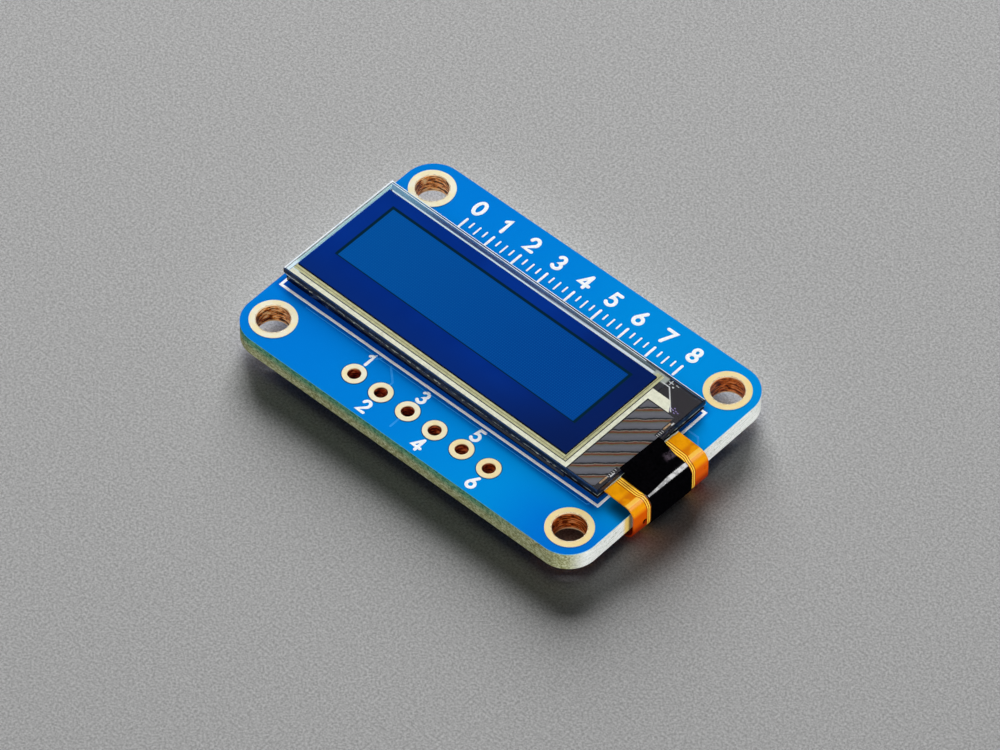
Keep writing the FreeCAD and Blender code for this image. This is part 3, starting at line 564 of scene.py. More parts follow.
def polarizer_finish():
    """Deep blue plastic film through which the field of pixels shows, ringed by a dark border of painted
    shadow. Its cut sides are black.
    """
    look = Shader("blue_polarizer")
    u, v, _ = look.turned(PANEL_CENTRE, PANEL_SKEW)
    left, right, front, rear = ACTIVE_AREA
    active = look.band(u, left, right, 0.05) * look.band(v, front, rear, 0.05)
    # Painted shadow: a dark border round the field of pixels, narrower at the front.
    ring = look.band(u, left - ACTIVE_SHADOW_WIDTH, right + ACTIVE_SHADOW_WIDTH, 0.06)
    ring *= look.band(v, front - 0.09, rear + ACTIVE_SHADOW_WIDTH, 0.06)
    wide = look.noise(0.16, 2, shift=(3, 1, 0))
    film = look.ramp(wide, (0.35, 0, 38, 120), (0.65, 2, 46, 134))
    film = look.mix(look.rise(v, front, front - 2.4), film, (4, 40, 116))
    film = look.mix(look.rise(u, 1, 11) * 0.75, film, (6, 22, 66))
    glow = look.mix(look.rise(u, -14, 9), (0, 76, 152), (0, 58, 137))
    glow = look.mix(wide * 0.5, glow, (0, 70, 148))
    glow = look.mix(pixel_dots(look, u, v) * 0.35, glow, (16, 106, 168))
    film = look.mix(ring, film, (2, 34, 52))
    colour = look.mix(active, film, glow)
    flat = look.rise(look.nz, 0.5, 0.8)
    look.colour(look.mix(flat, (3, 5, 14), colour))
    look.rough(look.blend(look.noise(1.5), 0.07, 0.13))
    look.bump(look.noise(0.7, 2), 0.006, 0.3)
    look.gloss(0.05)
    return look.material


def emitter_finish():
    """The field of pixels itself, a fine grid of dots."""
    look = Shader("emitter_film")
    look.colour(look.mix(pixel_dots(look, look.x, look.y), (30, 70, 96), (90, 140, 150)))
    look.rough(0.4)
    return look.material


def polyimide_finish():
    """Orange polyimide over copper, with fine conductors beside the black tape, and painted highlight and
    shade over its bend.
    """
    look = Shader("orange_polyimide")
    u, across, _ = look.turned(FLEX_ORIGIN, FLEX_SKEW)
    tint = look.noise(1.3, 3)
    orange = look.ramp(tint, (0.3, 214, 132, 0), (0.7, 238, 162, 6))
    patch = look.band(u, 1.45, 2.15, 0.4) * look.rise(look.noise(0.9, 2), 0.4, 0.6)
    orange = look.mix(patch * 0.8, orange, (200, 100, 8))
    # Painted highlight: a brighter strip and a pale band where the bend starts.
    orange = look.mix(look.rise(u, 2.25, 2.55), orange, (248, 160, 4))
    fold_highlight = look.band(u, 2.1, 2.42, 0.06) * look.rise(look.nz, 0.5, 0.7)
    orange = look.mix(fold_highlight * 0.7, orange, (255, 206, 84))
    # Painted shade: darker red down the bent side, darkest low down and on the inner face.
    orange = look.mix(look.rise(look.z, 2.0, 1.5), orange, (222, 92, 2))
    orange = look.mix(look.rise(look.z, 0.9, 0.1), orange, (152, 42, 6))
    inner = (look.nx < -0.2) * look.rise(look.x, 15.2, 16.2)
    orange = look.mix(inner, orange, (120, 26, 4))
    inward = abs(across) + look.rise(u, 1.9, 2.5) * 0.17
    lines = [look.band(inward, start, start + 0.1, 0.03) for start in (2.09, 2.26, 2.43)]
    line = look.most(*lines)
    gaps = [look.band(inward, start, start + 0.065, 0.02) for start in (2.195, 2.365, 2.535)]
    gap = look.most(*gaps)
    outside = 1.0 - inner
    orange = look.mix(line * outside, orange, (255, 214, 76))
    orange = look.mix(gap * outside, orange, (170, 60, 0))
    middle = look.rise(abs(across), 2.06, 2.0)
    bonded = look.rise(u, 0.13, 0.07)
    covered = look.most(middle, bonded * look.rise(look.z, 1.0, 1.1))
    look.colour(look.mix(covered, orange, (6, 5, 6)))
    look.rough(look.blend(tint, 0.24, 0.34))
    look.bump(line + look.noise(1.5, 2), 0.012, 0.6)
    look.gloss(0.08)
    return look.material


def ink_finish():
    look = Shader("white_ink")
    grain = look.noise(6, 4, 0.7)
    look.colour(look.ramp(grain, (0.25, 226, 232, 238), (0.6, 250, 251, 252)))
    look.rough(look.blend(grain, 0.45, 0.7))
    look.bump(grain, 0.008, 0.5)
    return look.material


def trace_finish():
    """Solder mask where it rises over a copper track."""
    look = Shader("mask_over_copper")
    grain = look.noise(4, 3)
    look.colour(look.ramp(grain, (0.3, 20, 132, 222), (0.7, 40, 150, 232)))
    look.rough(0.3)
    look.bump(grain, 0.005, 0.4)
    return look.material


INK = ink_finish()
TRACE = trace_finish()
TIN = plain_finish("tinned_metal", (150, 152, 156), (206, 208, 212), 3.0, (0.22, 0.4), 0.85, 0.02)
TAPE = tape_finish()
GOLD_MARK = plain_finish("gold_mark", (150, 116, 84), (214, 176, 134), 6.0, (0.3, 0.45), 0.3, 0.005)
PALE_MARK = plain_finish("pale_mark", (186, 186, 186), (224, 224, 226), 6.0, (0.35, 0.5), 0.1, 0.004)
BURR = plain_finish("burr", (236, 206, 160), (255, 248, 228), 3.0, (0.2, 0.35), 0.3, 0.01)
DIM_MARK = plain_finish("dim_mark", (116, 98, 164), (168, 150, 204), 6.0, (0.35, 0.5), 0.1, 0.004)
# A dark sheet under the ledge: partly painted shade, partly the black tape below.
LEDGE_SHADE_SHEET = plain_finish("ledge_shade_sheet", (7, 1, 12), (16, 6, 22), 1.2, (0.5, 0.6), 0.0, 0.0005)
# Pale: partly the glue's own colour, partly painted glints along the seam.
GLUE = plain_finish("glue", (120, 126, 112), (196, 198, 184), 2.5, (0.1, 0.25), 0.0, 0.03)
# Pale ground glass: partly its own frosting, partly a painted highlight, laid only where the edge catches
# the light.
FROST_AND_GLINT = plain_finish("frosted_glass_glint", (216, 230, 242), (250, 252, 254), 2.0, (0.4, 0.6), 0.0, 0.004)
GROUND = ground_finish()
SEAL = seal_finish()

MOUNT_GOLD = gold_finish("gold_plating_mount", (44, 10, 0), (190, 92, 14), (255, 172, 72), (255, 230, 180))
HEADER_GOLD = gold_finish("gold_plating_header", (30, 0, 0), (112, 20, 6), (160, 48, 16), (226, 120, 70))

FINISHES = {
    "printed_board": board_finish(),
    "mount_plating": MOUNT_GOLD,
    "header_plating": HEADER_GOLD,
    "panel_adhesive": TAPE,
    "cap_glass": cap_glass_finish(),
    "desiccant_sheet": plain_finish("drying_sheet", (190, 188, 176), (226, 224, 214)),
    "edge_seal": SEAL,
    "substrate_glass": display_glass_finish(),
    "polarizer": polarizer_finish(),
    "pixel_matrix": emitter_finish(),
    "supply_track": plain_finish("cream_film", (212, 210, 194), (234, 232, 218), 3.0, (0.4, 0.55)),
    "cathode_track": cathode_finish(),
    "fanout_film": fanout_finish(),
    "driver_chip": plain_finish("silicon", (30, 32, 38), (62, 64, 74), 4.0, (0.1, 0.2), 0.4),
    "chip_shield": plain_finish("shield_tape", (4, 3, 6), (14, 11, 18), 2.0, (0.3, 0.5)),
    "flex_circuit": polyimide_finish(),
    "cover_tape": TAPE,
    "tail_solder": TIN,
}
ENDINGS = {
    "leads": TIN,
    "ends": TIN,
    "capacitor_body": plain_finish("tan_ceramic", (150, 112, 74), (186, 146, 102), 4.0, (0.4, 0.6)),
    "resistor_body": plain_finish("resistor_ceramic", (12, 12, 14), (34, 34, 38), 5.0, (0.3, 0.5)),
    "body": plain_finish("black_resin", (16, 16, 18), (40, 40, 44), 8.0, (0.45, 0.65), 0.0, 0.02),
}


def finish_of(name):
    """The material of a part, by its name without numbers or by its ending."""
    plain = re.sub(r"_\d+", "", name)
    if plain in FINISHES:
        return FINISHES[plain]
    return next(material for ending, material in ENDINGS.items() if plain.endswith(ending))


for name, part in nodes.items():
    part.data.materials.clear()
    part.data.materials.append(finish_of(name))
# The polarizer is a clear film to lamps, so the metal films beside it are lit
nodes["polarizer"].visible_shadow = False


# Mesh pieces

def mesh_object(name, mesh, material):
    data = bpy.data.meshes.new(name)
    mesh.to_mesh(data)
    mesh.free()
    data.materials.append(material)
    item = bpy.data.objects.new(name, data)
    bpy.context.scene.collection.objects.link(item)
    return item


def add_piece(name, mesh, material, smooth=False):
    """A finished piece that rides on the part's one body."""
    bmesh.ops.recalc_face_normals(mesh, faces=mesh.faces)
    piece = mesh_object(name, mesh, material)
    if smooth:
        piece.data.shade_smooth()
    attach(piece, "root")
    return piece


def spread(first, last, count):
    """Evenly spaced numbers from first to last."""
    return [first + (last - first) * index / (count - 1) for index in range(count)]


def row_of_points(mesh, places):
    return [mesh.verts.new(Vector(place) * MM) for place in places]


MITRE_LIMIT = 1.7


def corner_normals(path, closed):
    """The sideways direction of each point of a path, lengthened at corners to keep the width."""
    count = len(path)
    sides = []
    for index in range(count):
        ahead = path[(index + 1) % count] - path[index]
        behind = path[index] - path[index - 1]
        if not closed and index == 0:
            behind = ahead
        if not closed and index == count - 1:
            ahead = behind
        ahead, behind = ahead.normalized(), behind.normalized()
        middle = (ahead + behind).normalized()
        stretch = min(1 / max(middle.dot(ahead), 0.1), MITRE_LIMIT)
        sides.append(Vector((-middle.y, middle.x)) * stretch)
    return sides


def skin(mesh, rings, closed=False):
    """Faces between rows of points, with a lid on each end where they don't come round."""
    pairs = list(zip(rings, rings[1:]))
    if closed:
        pairs.append((rings[-1], rings[0]))
    for one, other in pairs:
        for index in range(len(one)):
            following = (index + 1) % len(one)
            mesh.faces.new((one[index], one[following], other[following], other[index]))
    if not closed:
        mesh.faces.new(rings[0])
        mesh.faces.new(rings[-1])


# Across a stroke: half widths from its middle, and share of its height there
STROKE_PROFILE = ((-1.0, 0.0), (-0.82, 0.8), (0.0, 1.0), (0.82, 0.8), (1.0, 0.0))
# Rows of points on a round end, and how many rows short of the very tip they stop
CAP_STEPS = 4
CAP_TIP = 0.4


def stroke(mesh, points, width, base, height, closed=False):
    """A low, slightly domed line of ink or metal along a path. A negative height lies on an under side."""
    path = [Vector(point[:2]) for point in points]
    sides = corner_normals(path, closed)
    half = width / 2
    rows = [(point, side * half, 1.0) for point, side in zip(path, sides)]
    if not closed:
        start, end = [], []
        tips = ((start, path[0], path[1], sides[0]), (end, path[-1], path[-2], sides[-1]))
        for step in range(1, CAP_STEPS + 1):
            angle = step / (CAP_STEPS + CAP_TIP) * math.pi / 2
            out, share = math.sin(angle) * half, math.cos(angle)
            for cap, tip, inside, side in tips:
                cap.append((tip + (tip - inside).normalized() * out, side * half * share, share**0.5))
        rows = start[::-1] + rows + end
    rings = []
    for point, side, tall in rows:
        places = [(point + side * across, base + height * up * tall) for across, up in STROKE_PROFILE]
        rings.append(row_of_points(mesh, [(place.x, place.y, level) for place, level in places]))
    skin(mesh, rings, closed)


def arc(x, y, radius_x, radius_y, start, sweep, steps=20):
    """Points along part of an ellipse, angles in degrees."""
    return [
        (
            x + radius_x * math.cos(math.radians(start + sweep * step / steps)),
            y + radius_y * math.sin(math.radians(start + sweep * step / steps)),
        )
        for step in range(steps + 1)
    ]


# Centre lines of the digits in a field 1 high: (closed, points)
DIGITS = {
    "0": [(True, arc(0.33, 0.5, 0.245, 0.415, 90, 342))],
    "1": [(False, [(0.14, 0.74), (0.34, 0.9), (0.34, 0.085)])],
    "2": [(False, arc(0.32, 0.66, 0.22, 0.255, 168, -205) + [(0.09, 0.085), (0.57, 0.085)])],
    "3": [(False, arc(0.3, 0.7, 0.19, 0.215, 150, -232, 14) + arc(0.3, 0.3, 0.225, 0.215, 75, -225, 14))],
    "4": [(False, [(0.43, 0.9), (0.04, 0.29), (0.62, 0.29)]), (False, [(0.43, 0.9), (0.43, 0.085)])],
    "5": [
        (False, [(0.54, 0.915), (0.22, 0.915), (0.16, 0.56)] + arc(0.3, 0.345, 0.245, 0.26, 112, -258, 16)),
    ],
    "6": [(False, [(0.43, 0.92), (0.14, 0.48)] + arc(0.33, 0.325, 0.235, 0.24, 150, 350, 22))],
    "7": [(False, [(0.07, 0.915), (0.57, 0.915), (0.22, 0.085)])],
    "8": [
        (True, arc(0.33, 0.71, 0.185, 0.205, -90, 342, 19)),
        (True, arc(0.33, 0.295, 0.23, 0.21, 90, 342, 19)),
    ],
}
DIGIT_MIDDLE = 0.33
DIGIT_STROKE = 0.2


def write_digit(mesh, digit, x, y, size, base, height, mirror=1):
    """One digit with its foot at y and its middle at x. With mirror at -1 it reads right from below."""
    for closed, points in DIGITS[digit]:
        path = [(x + mirror * (across - DIGIT_MIDDLE) * size, y + up * size) for across, up in points]
        stroke(mesh, path, DIGIT_STROKE * size, base, height, closed)


FRAME_LINE = ((-15.79, -5.54), (14.14, -5.54), (14.14, 5.69), (-15.79, 5.69))
FRAME_WIDTH = 0.22
THIN_LINE = ((-13.0, -5.93), (13.45, -5.93), (13.58, -5.8))
THIN_WIDTH = 0.07


def panel_outline():
    """The printed frame round the panel, and the faint thin line beside its front."""
    mesh = bmesh.new()
    stroke(mesh, FRAME_LINE, FRAME_WIDTH, BOARD_TOP, INK_HEIGHT, closed=True)
    add_piece("panel_outline", mesh, INK)
    mesh = bmesh.new()
    stroke(mesh, THIN_LINE, THIN_WIDTH, BOARD_TOP, INK_HEIGHT)
    add_piece("panel_outline_thin", mesh, TRACE)


def pin_numbers():
    """Plain numbers at the header holes, above the odd ones and below the even ones."""
    mesh = bmesh.new()
    below = PIN_ROW - PIN_GAP_BELOW - PIN_DIGIT
    for index in range(PIN_COUNT):
        x = (index - (PIN_COUNT - 1) / 2) * PIN_PITCH
        y = PIN_ROW + PIN_GAP_ABOVE if index % 2 == 0 else below
        write_digit(mesh, str(index + 1), x, y, PIN_DIGIT, BOARD_TOP, INK_HEIGHT)
        write_digit(mesh, str(index + 1), x, below, PIN_DIGIT, BOARD_BACK, -INK_HEIGHT, -1)
    add_piece("pin_numbers", mesh, INK)


def tick(mesh, x, length, width):
    stroke(mesh, [(x, SCALE_TICK_TOP), (x, SCALE_TICK_TOP - length)], width, BOARD_TOP, INK_HEIGHT)


def number_scale():
    """A plain scale in header pitches along the rear edge: numbers and tick marks."""
    digits = bmesh.new()
    ticks = bmesh.new()
    for index in range(SCALE_STEPS):
        x = (index - (SCALE_STEPS - 1) / 2) * PIN_PITCH
        write_digit(digits, str(index), x, SCALE_BASE, SCALE_DIGIT, BOARD_TOP, INK_HEIGHT)
        tick(ticks, x, SCALE_TICK_LONG, SCALE_TICK_WIDE)
        if index < SCALE_STEPS - 1:
            for share, length in SCALE_TICKS_BETWEEN:
                tick(ticks, x + share * PIN_PITCH, length, SCALE_TICK_THIN)
    add_piece("scale_numbers", digits, INK)
    add_piece("scale_ticks", ticks, INK)


FRONT_TRACK_WIDTH = 0.16


def front_traces():
    """Copper tracks that show faintly through the mask."""
    mesh = bmesh.new()
    for path in (
        [(-3.81, -7.2), (-3.81, -6.9), (-4.9, -5.9)],
        [(-6.35, -7.2), (-6.35, -6.3), (-5.9, -5.8)],
        [(14.35, 3.7), (15.2, 3.7), (15.75, 3.1), (15.75, 1.2)],
        [(-1.27, -9.0), (-1.27, -9.9)],
    ):
        stroke(mesh, path, FRONT_TRACK_WIDTH, BOARD_TOP, INK_HEIGHT / 2)
    add_piece("front_traces", mesh, TRACE)


SIDE_GAP = 0.02
LEFT_MARGIN = 0.26
COAT_LEVEL = GLASS_UNDER - 0.009
COAT_THICKNESS = 0.004


def under_sheet(name, start, end, material):
    """A thin coat on the underside of the display glass, from one side margin to the other."""
    mesh = bmesh.new()
    edge = PANEL_HALF[1] - SIDE_GAP
    rings = []
    for u in (start, end):
        corners = ((-edge, 0), (edge, 0), (edge, COAT_THICKNESS), (-edge, COAT_THICKNESS))
        rings.append(row_of_points(mesh, [(*on_panel(u, v), COAT_LEVEL + up) for v, up in corners]))
    skin(mesh, rings)
    add_piece(name, mesh, material)


MARK_LEVEL = GLASS_UNDER - 0.0045
MARK_HEIGHT = 0.003
CROSS_MARK = (12.04, 5.26)


def mark(mesh, width, *points):
    """A fine metal line on the underside of the glass, with its points in the panel's own frame."""
    stroke(mesh, [on_panel(*point) for point in points], width, MARK_LEVEL, MARK_HEIGHT)


def ledge_marks():
    """A dark sheet under the bare ledge of the glass, partly painted shade and partly the black tape seen
    below it, and the fine metal marks on it.
    """
    under_sheet("ledge_shade_sheet", LEDGE_START, PANEL_HALF[0] - SIDE_GAP, LEDGE_SHADE_SHEET)
    under_sheet("left_margin", -PANEL_HALF[0] + SIDE_GAP, -PANEL_HALF[0] + LEFT_MARGIN, SEAL)

    pale = bmesh.new()
    mark(pale, 0.09, (11.49, 4.89), (12.19, 4.89), (13.74, 3.29))
    u, v = CROSS_MARK
    mark(pale, 0.06, (u - 0.2, v), (u + 0.2, v))
    mark(pale, 0.06, (u, v - 0.2), (u, v + 0.2))
    for du, dv, size in ((0.37, -0.23, 0.13), (0.47, 0.07, 0.08), (0.62, 0.05, 0.06)):
        mark(pale, size, (u + du - 0.02, v + dv), (u + du + 0.02, v + dv))
    for left, first, last, width in ((14.58, -3.84, -3.45, 0.1), (14.6, 2.45, 2.65, 0.12)):
        mark(pale, width, (left, first), (left, last))
    for left, right, first, last, count in ((14.36, 14.5, -3.95, -3.15, 5), (14.43, 14.6, 1.05, 1.6, 4)):
        for v in spread(first, last, count):
            mark(pale, 0.05, (left, v), (right, v))
    add_piece("ledge_marks", pale, PALE_MARK)

    gold = bmesh.new()
    for left, first, last in ((14.42, -4.73, -4.06), (14.44, 1.84, 2.48)):
        mark(gold, 0.14, (left, first), (left, last))
    add_piece("bond_marks", gold, GOLD_MARK)

    dim = bmesh.new()
    for index in range(7):
        u = 13.55 + 0.22 * (index % 4)
        v = 3.35 + 0.2 * (index // 4) + 0.16 * (index % 2)
        mark(dim, 0.08, (u - 0.04, v), (u + 0.04, v))
    add_piece("ledge_dots", dim, DIM_MARK)


def beside_panel(side, along, out):
    """A point beside one side of the display glass: so far along it, and so far out from its edge."""
    half_u, half_v = PANEL_HALF
    places = {
        "front": (along, -half_v - out),
        "rear": (along, half_v + out),
        "left": (-half_u - out, along),
        "right": (half_u + out, along),
    }
    return on_panel(*places[side])


def edge_bar(mesh, side, start, end, section):
    """A bar along one side of the glass. Its section lists distances out from the edge and heights."""
    rings = []
    for along in (start, end):
        rings.append(row_of_points(mesh, [(*beside_panel(side, along, out), z) for out, z in section]))
    skin(mesh, rings)


RIM_CHAMFER = 0.05
RIM_PROUD = 0.005
RIM_WIDTHS = {"front": 0.06, "rear": 0.08, "left": 0.14, "right": 0.06}
RIM_LIT = ("rear", "left")


def glass_rims():
    """The ground edge of the display glass: a frosted line along its rear and left top edges and a pale line
    inside its rear edge, partly the ground glass's own pale colour and partly painted highlight; darker
    ground strips along its front and right top edges; and its dull dark sides.
    """
    half_u, half_v = PANEL_HALF
    frost = bmesh.new()
    ground = bmesh.new()
    for side, width in RIM_WIDTHS.items():
        reach = half_u if side in ("front", "rear") else half_v
        line = [
            (0.0, GLASS_TOP - RIM_CHAMFER - 0.01),
            (RIM_PROUD, GLASS_TOP - RIM_CHAMFER - 0.01),
            (-RIM_CHAMFER, GLASS_TOP + RIM_PROUD),
            (-width, GLASS_TOP + RIM_PROUD),
            (-width, GLASS_TOP),
            (-RIM_CHAMFER, GLASS_TOP),
        ]
        edge_bar(frost if side in RIM_LIT else ground, side, -reach, reach, line)
        face = [
            (0.0, GLASS_UNDER + 0.01),
            (RIM_PROUD, GLASS_UNDER + 0.01),
            (RIM_PROUD, GLASS_TOP - RIM_CHAMFER - 0.02),
            (0.0, GLASS_TOP - RIM_CHAMFER - 0.02),
        ]
        edge_bar(ground, side, -reach, reach, face)
    inner = [(-0.24, GLASS_TOP), (-0.24, GLASS_TOP + 0.004), (-0.19, GLASS_TOP + 0.004), (-0.19, GLASS_TOP)]
    edge_bar(frost, "rear", -half_u, 9.6, inner)
    # Ground glass lets lamps through, so the films behind it are lit
    add_piece("glass_rim", frost, FROST_AND_GLINT).visible_shadow = False
    add_piece("glass_sides", ground, GROUND).visible_shadow = False


def drop(mesh, place, size, turn):
    """A flattened drop of glue."""
    shape = Matrix.Translation(Vector(place) * MM) @ Matrix.Rotation(turn, 4, "Z")
    shape = shape @ Matrix.Diagonal((*Vector(size) * MM, 1))
    bmesh.ops.create_icosphere(mesh, subdivisions=2, radius=1.0, matrix=shape)


DROP_COUNT = 34
BEAD_POINTS = 9


def glue():
    """Small drops along the seam on the panel's front, and a thin bead where the flexible circuit leaves."""
    random.seed(11)
    drops = bmesh.new()
    for _ in range(DROP_COUNT):
        along = random.uniform(-14.7, LEDGE_START - 0.2)
        length = random.uniform(0.04, 0.2)
        x, y = beside_panel("front", along, 0.0)
        size = (length, random.uniform(0.02, 0.035), random.uniform(0.015, 0.04))
        drop(drops, (x, y, GLASS_UNDER + random.uniform(-0.08, 0.02)), size, PANEL_SKEW)
    add_piece("seam_glue", drops, GLUE, smooth=True)
    bead = bmesh.new()
    flex_top = GLASS_UNDER - 0.02
    for first, last in ((-3.66, -2.06), (2.06, 3.66)):
        path = [on_flex(0.07 + random.uniform(-0.02, 0.03), v) for v in spread(first, last, BEAD_POINTS)]
        stroke(bead, path, 0.09, flex_top, 0.06)
    add_piece("flex_glue", bead, GLUE, smooth=True)


BURR_STEPS = 72
BURR_RADIUS = 1.285
BURR_WIDTH = 0.05
BURR_HEIGHT = 0.014


def hole_burrs():
    """The bright, slightly ragged lip where the drill left each mounting hole."""
    mesh = bmesh.new()
    for index in range(1, 5):
        node = f"mount_plating_{index}"
        middle = (low(node) + high(node)) / 2
        for base, height in ((high(node).z, BURR_HEIGHT), (low(node).z, -BURR_HEIGHT)):
            path = []
            for step in range(BURR_STEPS):
                around = 2 * math.pi * step / BURR_STEPS
                radius = BURR_RADIUS + random.uniform(-0.014, 0.016)
                path.append((middle.x + radius * math.cos(around), middle.y + radius * math.sin(around)))
            stroke(mesh, path, BURR_WIDTH, base, height, closed=True)
    add_piece("hole_burrs", mesh, BURR)


# Back of the board

FOOT_HEIGHT = 0.12
PAD_HEIGHT = 0.03
PAD_CORNER = 0.12
# How far pads reach past a chip's end and past a lead, and the most that solder climbs each
CHIP_PAD, LEAD_PAD = 0.2, 0.14
CHIP_CLIMB, LEAD_CLIMB = 0.34, 0.09
JOINT_STEPS = 5
JOINT_CORNER = 0.06
OUTLINE_MARGIN = 0.3
OUTLINE_WIDTH = 0.1


def feet(node):
    """Where a part stands on the board's back: the lowest and highest corner of each of its feet."""
    mesh = bmesh.new()
    mesh.from_mesh(nodes[node].data)
    bmesh.ops.remove_doubles(mesh, verts=mesh.verts, dist=1e-6)
    seen = set()
    found = []
    for start in mesh.verts:
        if start in seen:
            continue
        seen.add(start)
        island = [start]
        for vert in island:
            for edge in vert.link_edges:
                other = edge.other_vert(vert)
                if other not in seen:
                    seen.add(other)
                    island.append(other)
        near = [vert.co / MM for vert in island if vert.co.z / MM > BOARD_BACK - FOOT_HEIGHT]
        across, along = [place.x for place in near], [place.y for place in near]
        found.append((min(across), min(along), max(across), max(along)))
    mesh.free()
    return found


def rounded(box, grow, radius, steps=3):
    """Points round a box that is grown on all sides, with round corners."""
    x0, y0, x1, y1 = box
    half_x, half_y = (x1 - x0) / 2 + grow, (y1 - y0) / 2 + grow
    radius = min(radius, half_x, half_y)
    middle_x, middle_y = (x0 + x1) / 2, (y0 + y1) / 2
    points = []
    for quarter, (side_x, side_y) in enumerate(((1, 1), (-1, 1), (-1, -1), (1, -1))):
        corner = (middle_x + side_x * (half_x - radius), middle_y + side_y * (half_y - radius))
        points += arc(*corner, radius, radius, quarter * 90, 90, steps)
    return points


def solder_joint(pads, joints, box, grow, height):
    """A tinned pad with a hollow fillet of solder that climbs the foot standing on it."""
    points = rounded(box, grow, PAD_CORNER)
    levels = (BOARD_BACK, BOARD_BACK - PAD_HEIGHT)
    skin(pads, [row_of_points(pads, [(x, y, level) for x, y in points]) for level in levels])
    rings = []
    for step in range(JOINT_STEPS + 1):
        share = step / JOINT_STEPS
        points = rounded(box, 0.012 + (grow - 0.03) * (1 - share) ** 2, JOINT_CORNER * (2 - share))
        level = BOARD_BACK - PAD_HEIGHT - (height - PAD_HEIGHT) * share**2
        rings.append(row_of_points(joints, [(x, y, level) for x, y in points]))
    skin(joints, rings)


def back_joints():
    """Pads, solder and printed outlines of the parts on the back of the board."""
    pads, joints, outlines = bmesh.new(), bmesh.new(), bmesh.new()
    for node in nodes:
        if not node.endswith(("_leads", "_ends")):
            continue
        tall = BOARD_BACK - low(node).z
        grow, climb = LEAD_PAD, LEAD_CLIMB
        if node.endswith("_ends"):
            grow, climb = CHIP_PAD, min(0.5 * tall, CHIP_CLIMB)
        for box in feet(node):
            solder_joint(pads, joints, box, grow, climb)
        body = node.rsplit("_", 1)[0] + "_body"
        x0, y0 = (min(low(node)[axis], low(body)[axis]) - OUTLINE_MARGIN for axis in (0, 1))
        x1, y1 = (max(high(node)[axis], high(body)[axis]) + OUTLINE_MARGIN for axis in (0, 1))
        corners = [(x0, y0), (x1, y0), (x1, y1), (x0, y1)]
        stroke(outlines, corners, OUTLINE_WIDTH, BOARD_BACK, -INK_HEIGHT, closed=True)
    add_piece("back_pads", pads, TIN)
    add_piece("back_solder", joints, TIN, smooth=True)
    add_piece("back_outlines", outlines, INK)


# Paths of the copper on the back of the board, from the header holes and between the parts
BACK_TRACKS = (
    [(-6.35, PIN_ROW), (-6.35, -6.6), (-5.95, -6.2), (-5.95, -5.3)],
    [(-3.81, PIN_ROW), (-3.81, -6.4), (-4.05, -6.1), (-4.05, -5.3)],
    [(-1.27, PIN_ROW), (-1.27, -6.4), (-1.35, -6.2), (-1.35, -5.3)],
    [(1.27, PIN_ROW), (1.27, -6.9), (0.55, -6.1), (0.55, -5.3)],
    [(3.81, PIN_ROW), (3.81, -5.9), (3.35, -5.4), (3.35, -4.5)],
    [(6.35, PIN_ROW), (6.35, -6.0), (7.4, -4.9), (8.2, -4.4)],
    [(-5.0, -3.2), (-5.0, -2.8), (-5.8, -2.2)],
    [(-0.4, -3.2), (-0.4, -2.8), (-1.2, -2.2)],
    [(-8.65, 2.0), (-8.65, 1.6), (-7.6, 0.6), (0.6, 0.6), (0.6, -0.5)],
    *([(x, 0.6), (x, -0.5)] for x in (-6.0, -4.0, -1.4)),
    [(5.5, -4.3), (6.3, -3.5), (6.3, -0.43), (5.2, -0.43)],
    [(6.3, -2.0), (5.2, -2.0)],
    [(3.6, -2.0), (2.7, -2.0), (2.7, -0.43), (3.6, -0.43)],
    *([(10.3, y), (x, y)] for x, y in ((12.2, -2.1), (12.3, -0.4), (12.4, 1.3))),
    [(10.3, 3.0), (11.6, 3.0), (12.3, 2.3)],
    [(10.5, -4.2), (12.1, -4.2)],
    *([(8.5, y), (7.4, y)] for y in (-2.1, -0.4, 1.3)),
    [(8.5, 3.0), (7.4, 3.0), (7.4, 4.6), (-6.4, 4.6), (-7.0, 5.2), (-7.0, 6.4), (-8.6, 6.4)],
    [(-8.65, 4.4), (-7.2, 4.4)],
    [(-10.6, 6.4), (-11.6, 6.4), (-12.1, 5.9), (-12.1, 4.9), (-11.6, 4.4), (-10.6, 4.4)],
    [(-8.6, -4.4), (-7.8, -4.4), (-7.3, -4.9), (-7.3, -7.4), (-6.7, -8.0)],
    [(-10.6, -4.4), (-11.5, -4.4), (-12.0, -3.9), (-12.0, 1.0), (-11.2, 1.9), (-10.6, 2.0)],
)
VIAS = (
    (7.4, -2.1), (7.4, -0.4), (7.4, 1.3), (2.7, -1.2), (-7.2, 4.4), (1.6, 2.4), (-2.4, 2.6), (4.4, 6.6),
    (-12.0, -1.4),
)
VIA_RADIUS = 0.2
VIA_RING = 0.16
BACK_TRACK_WIDTH = 0.24


def back_tracks():
    """Copper tracks and tented vias that lift the mask on the back of the board."""
    mesh = bmesh.new()
    for path in BACK_TRACKS:
        stroke(mesh, path, BACK_TRACK_WIDTH, BOARD_BACK, -0.02)
    for x, y in VIAS:
        stroke(mesh, arc(x, y, VIA_RADIUS, VIA_RADIUS, 0, 345, 23), VIA_RING, BOARD_BACK, -0.03, closed=True)
    add_piece("back_tracks", mesh, TRACE)


FINGER_COUNT = 14
FINGER_PITCH = 0.5
FINGER_WIDTH = 0.3


def tail_fingers():
    """The tinned fingers on the lower face of the flexible circuit's tail."""
    mesh = bmesh.new()
    for index in range(FINGER_COUNT):
        v = (index - (FINGER_COUNT - 1) / 2) * FINGER_PITCH
        stroke(mesh, [on_flex(-1.7, v), on_flex(-0.6, v)], FINGER_WIDTH, TAIL_UNDER, -0.02)
    add_piece("tail_fingers", mesh, TIN)


for make in (
    panel_outline, pin_numbers, number_scale, front_traces, ledge_marks, glass_rims, glue, hole_burrs,
    back_joints, back_tracks, tail_fingers,
):
    make()


# Studio

FLOOR_RADIUS = 3.0
LAMP_DISTANCE = 1.0


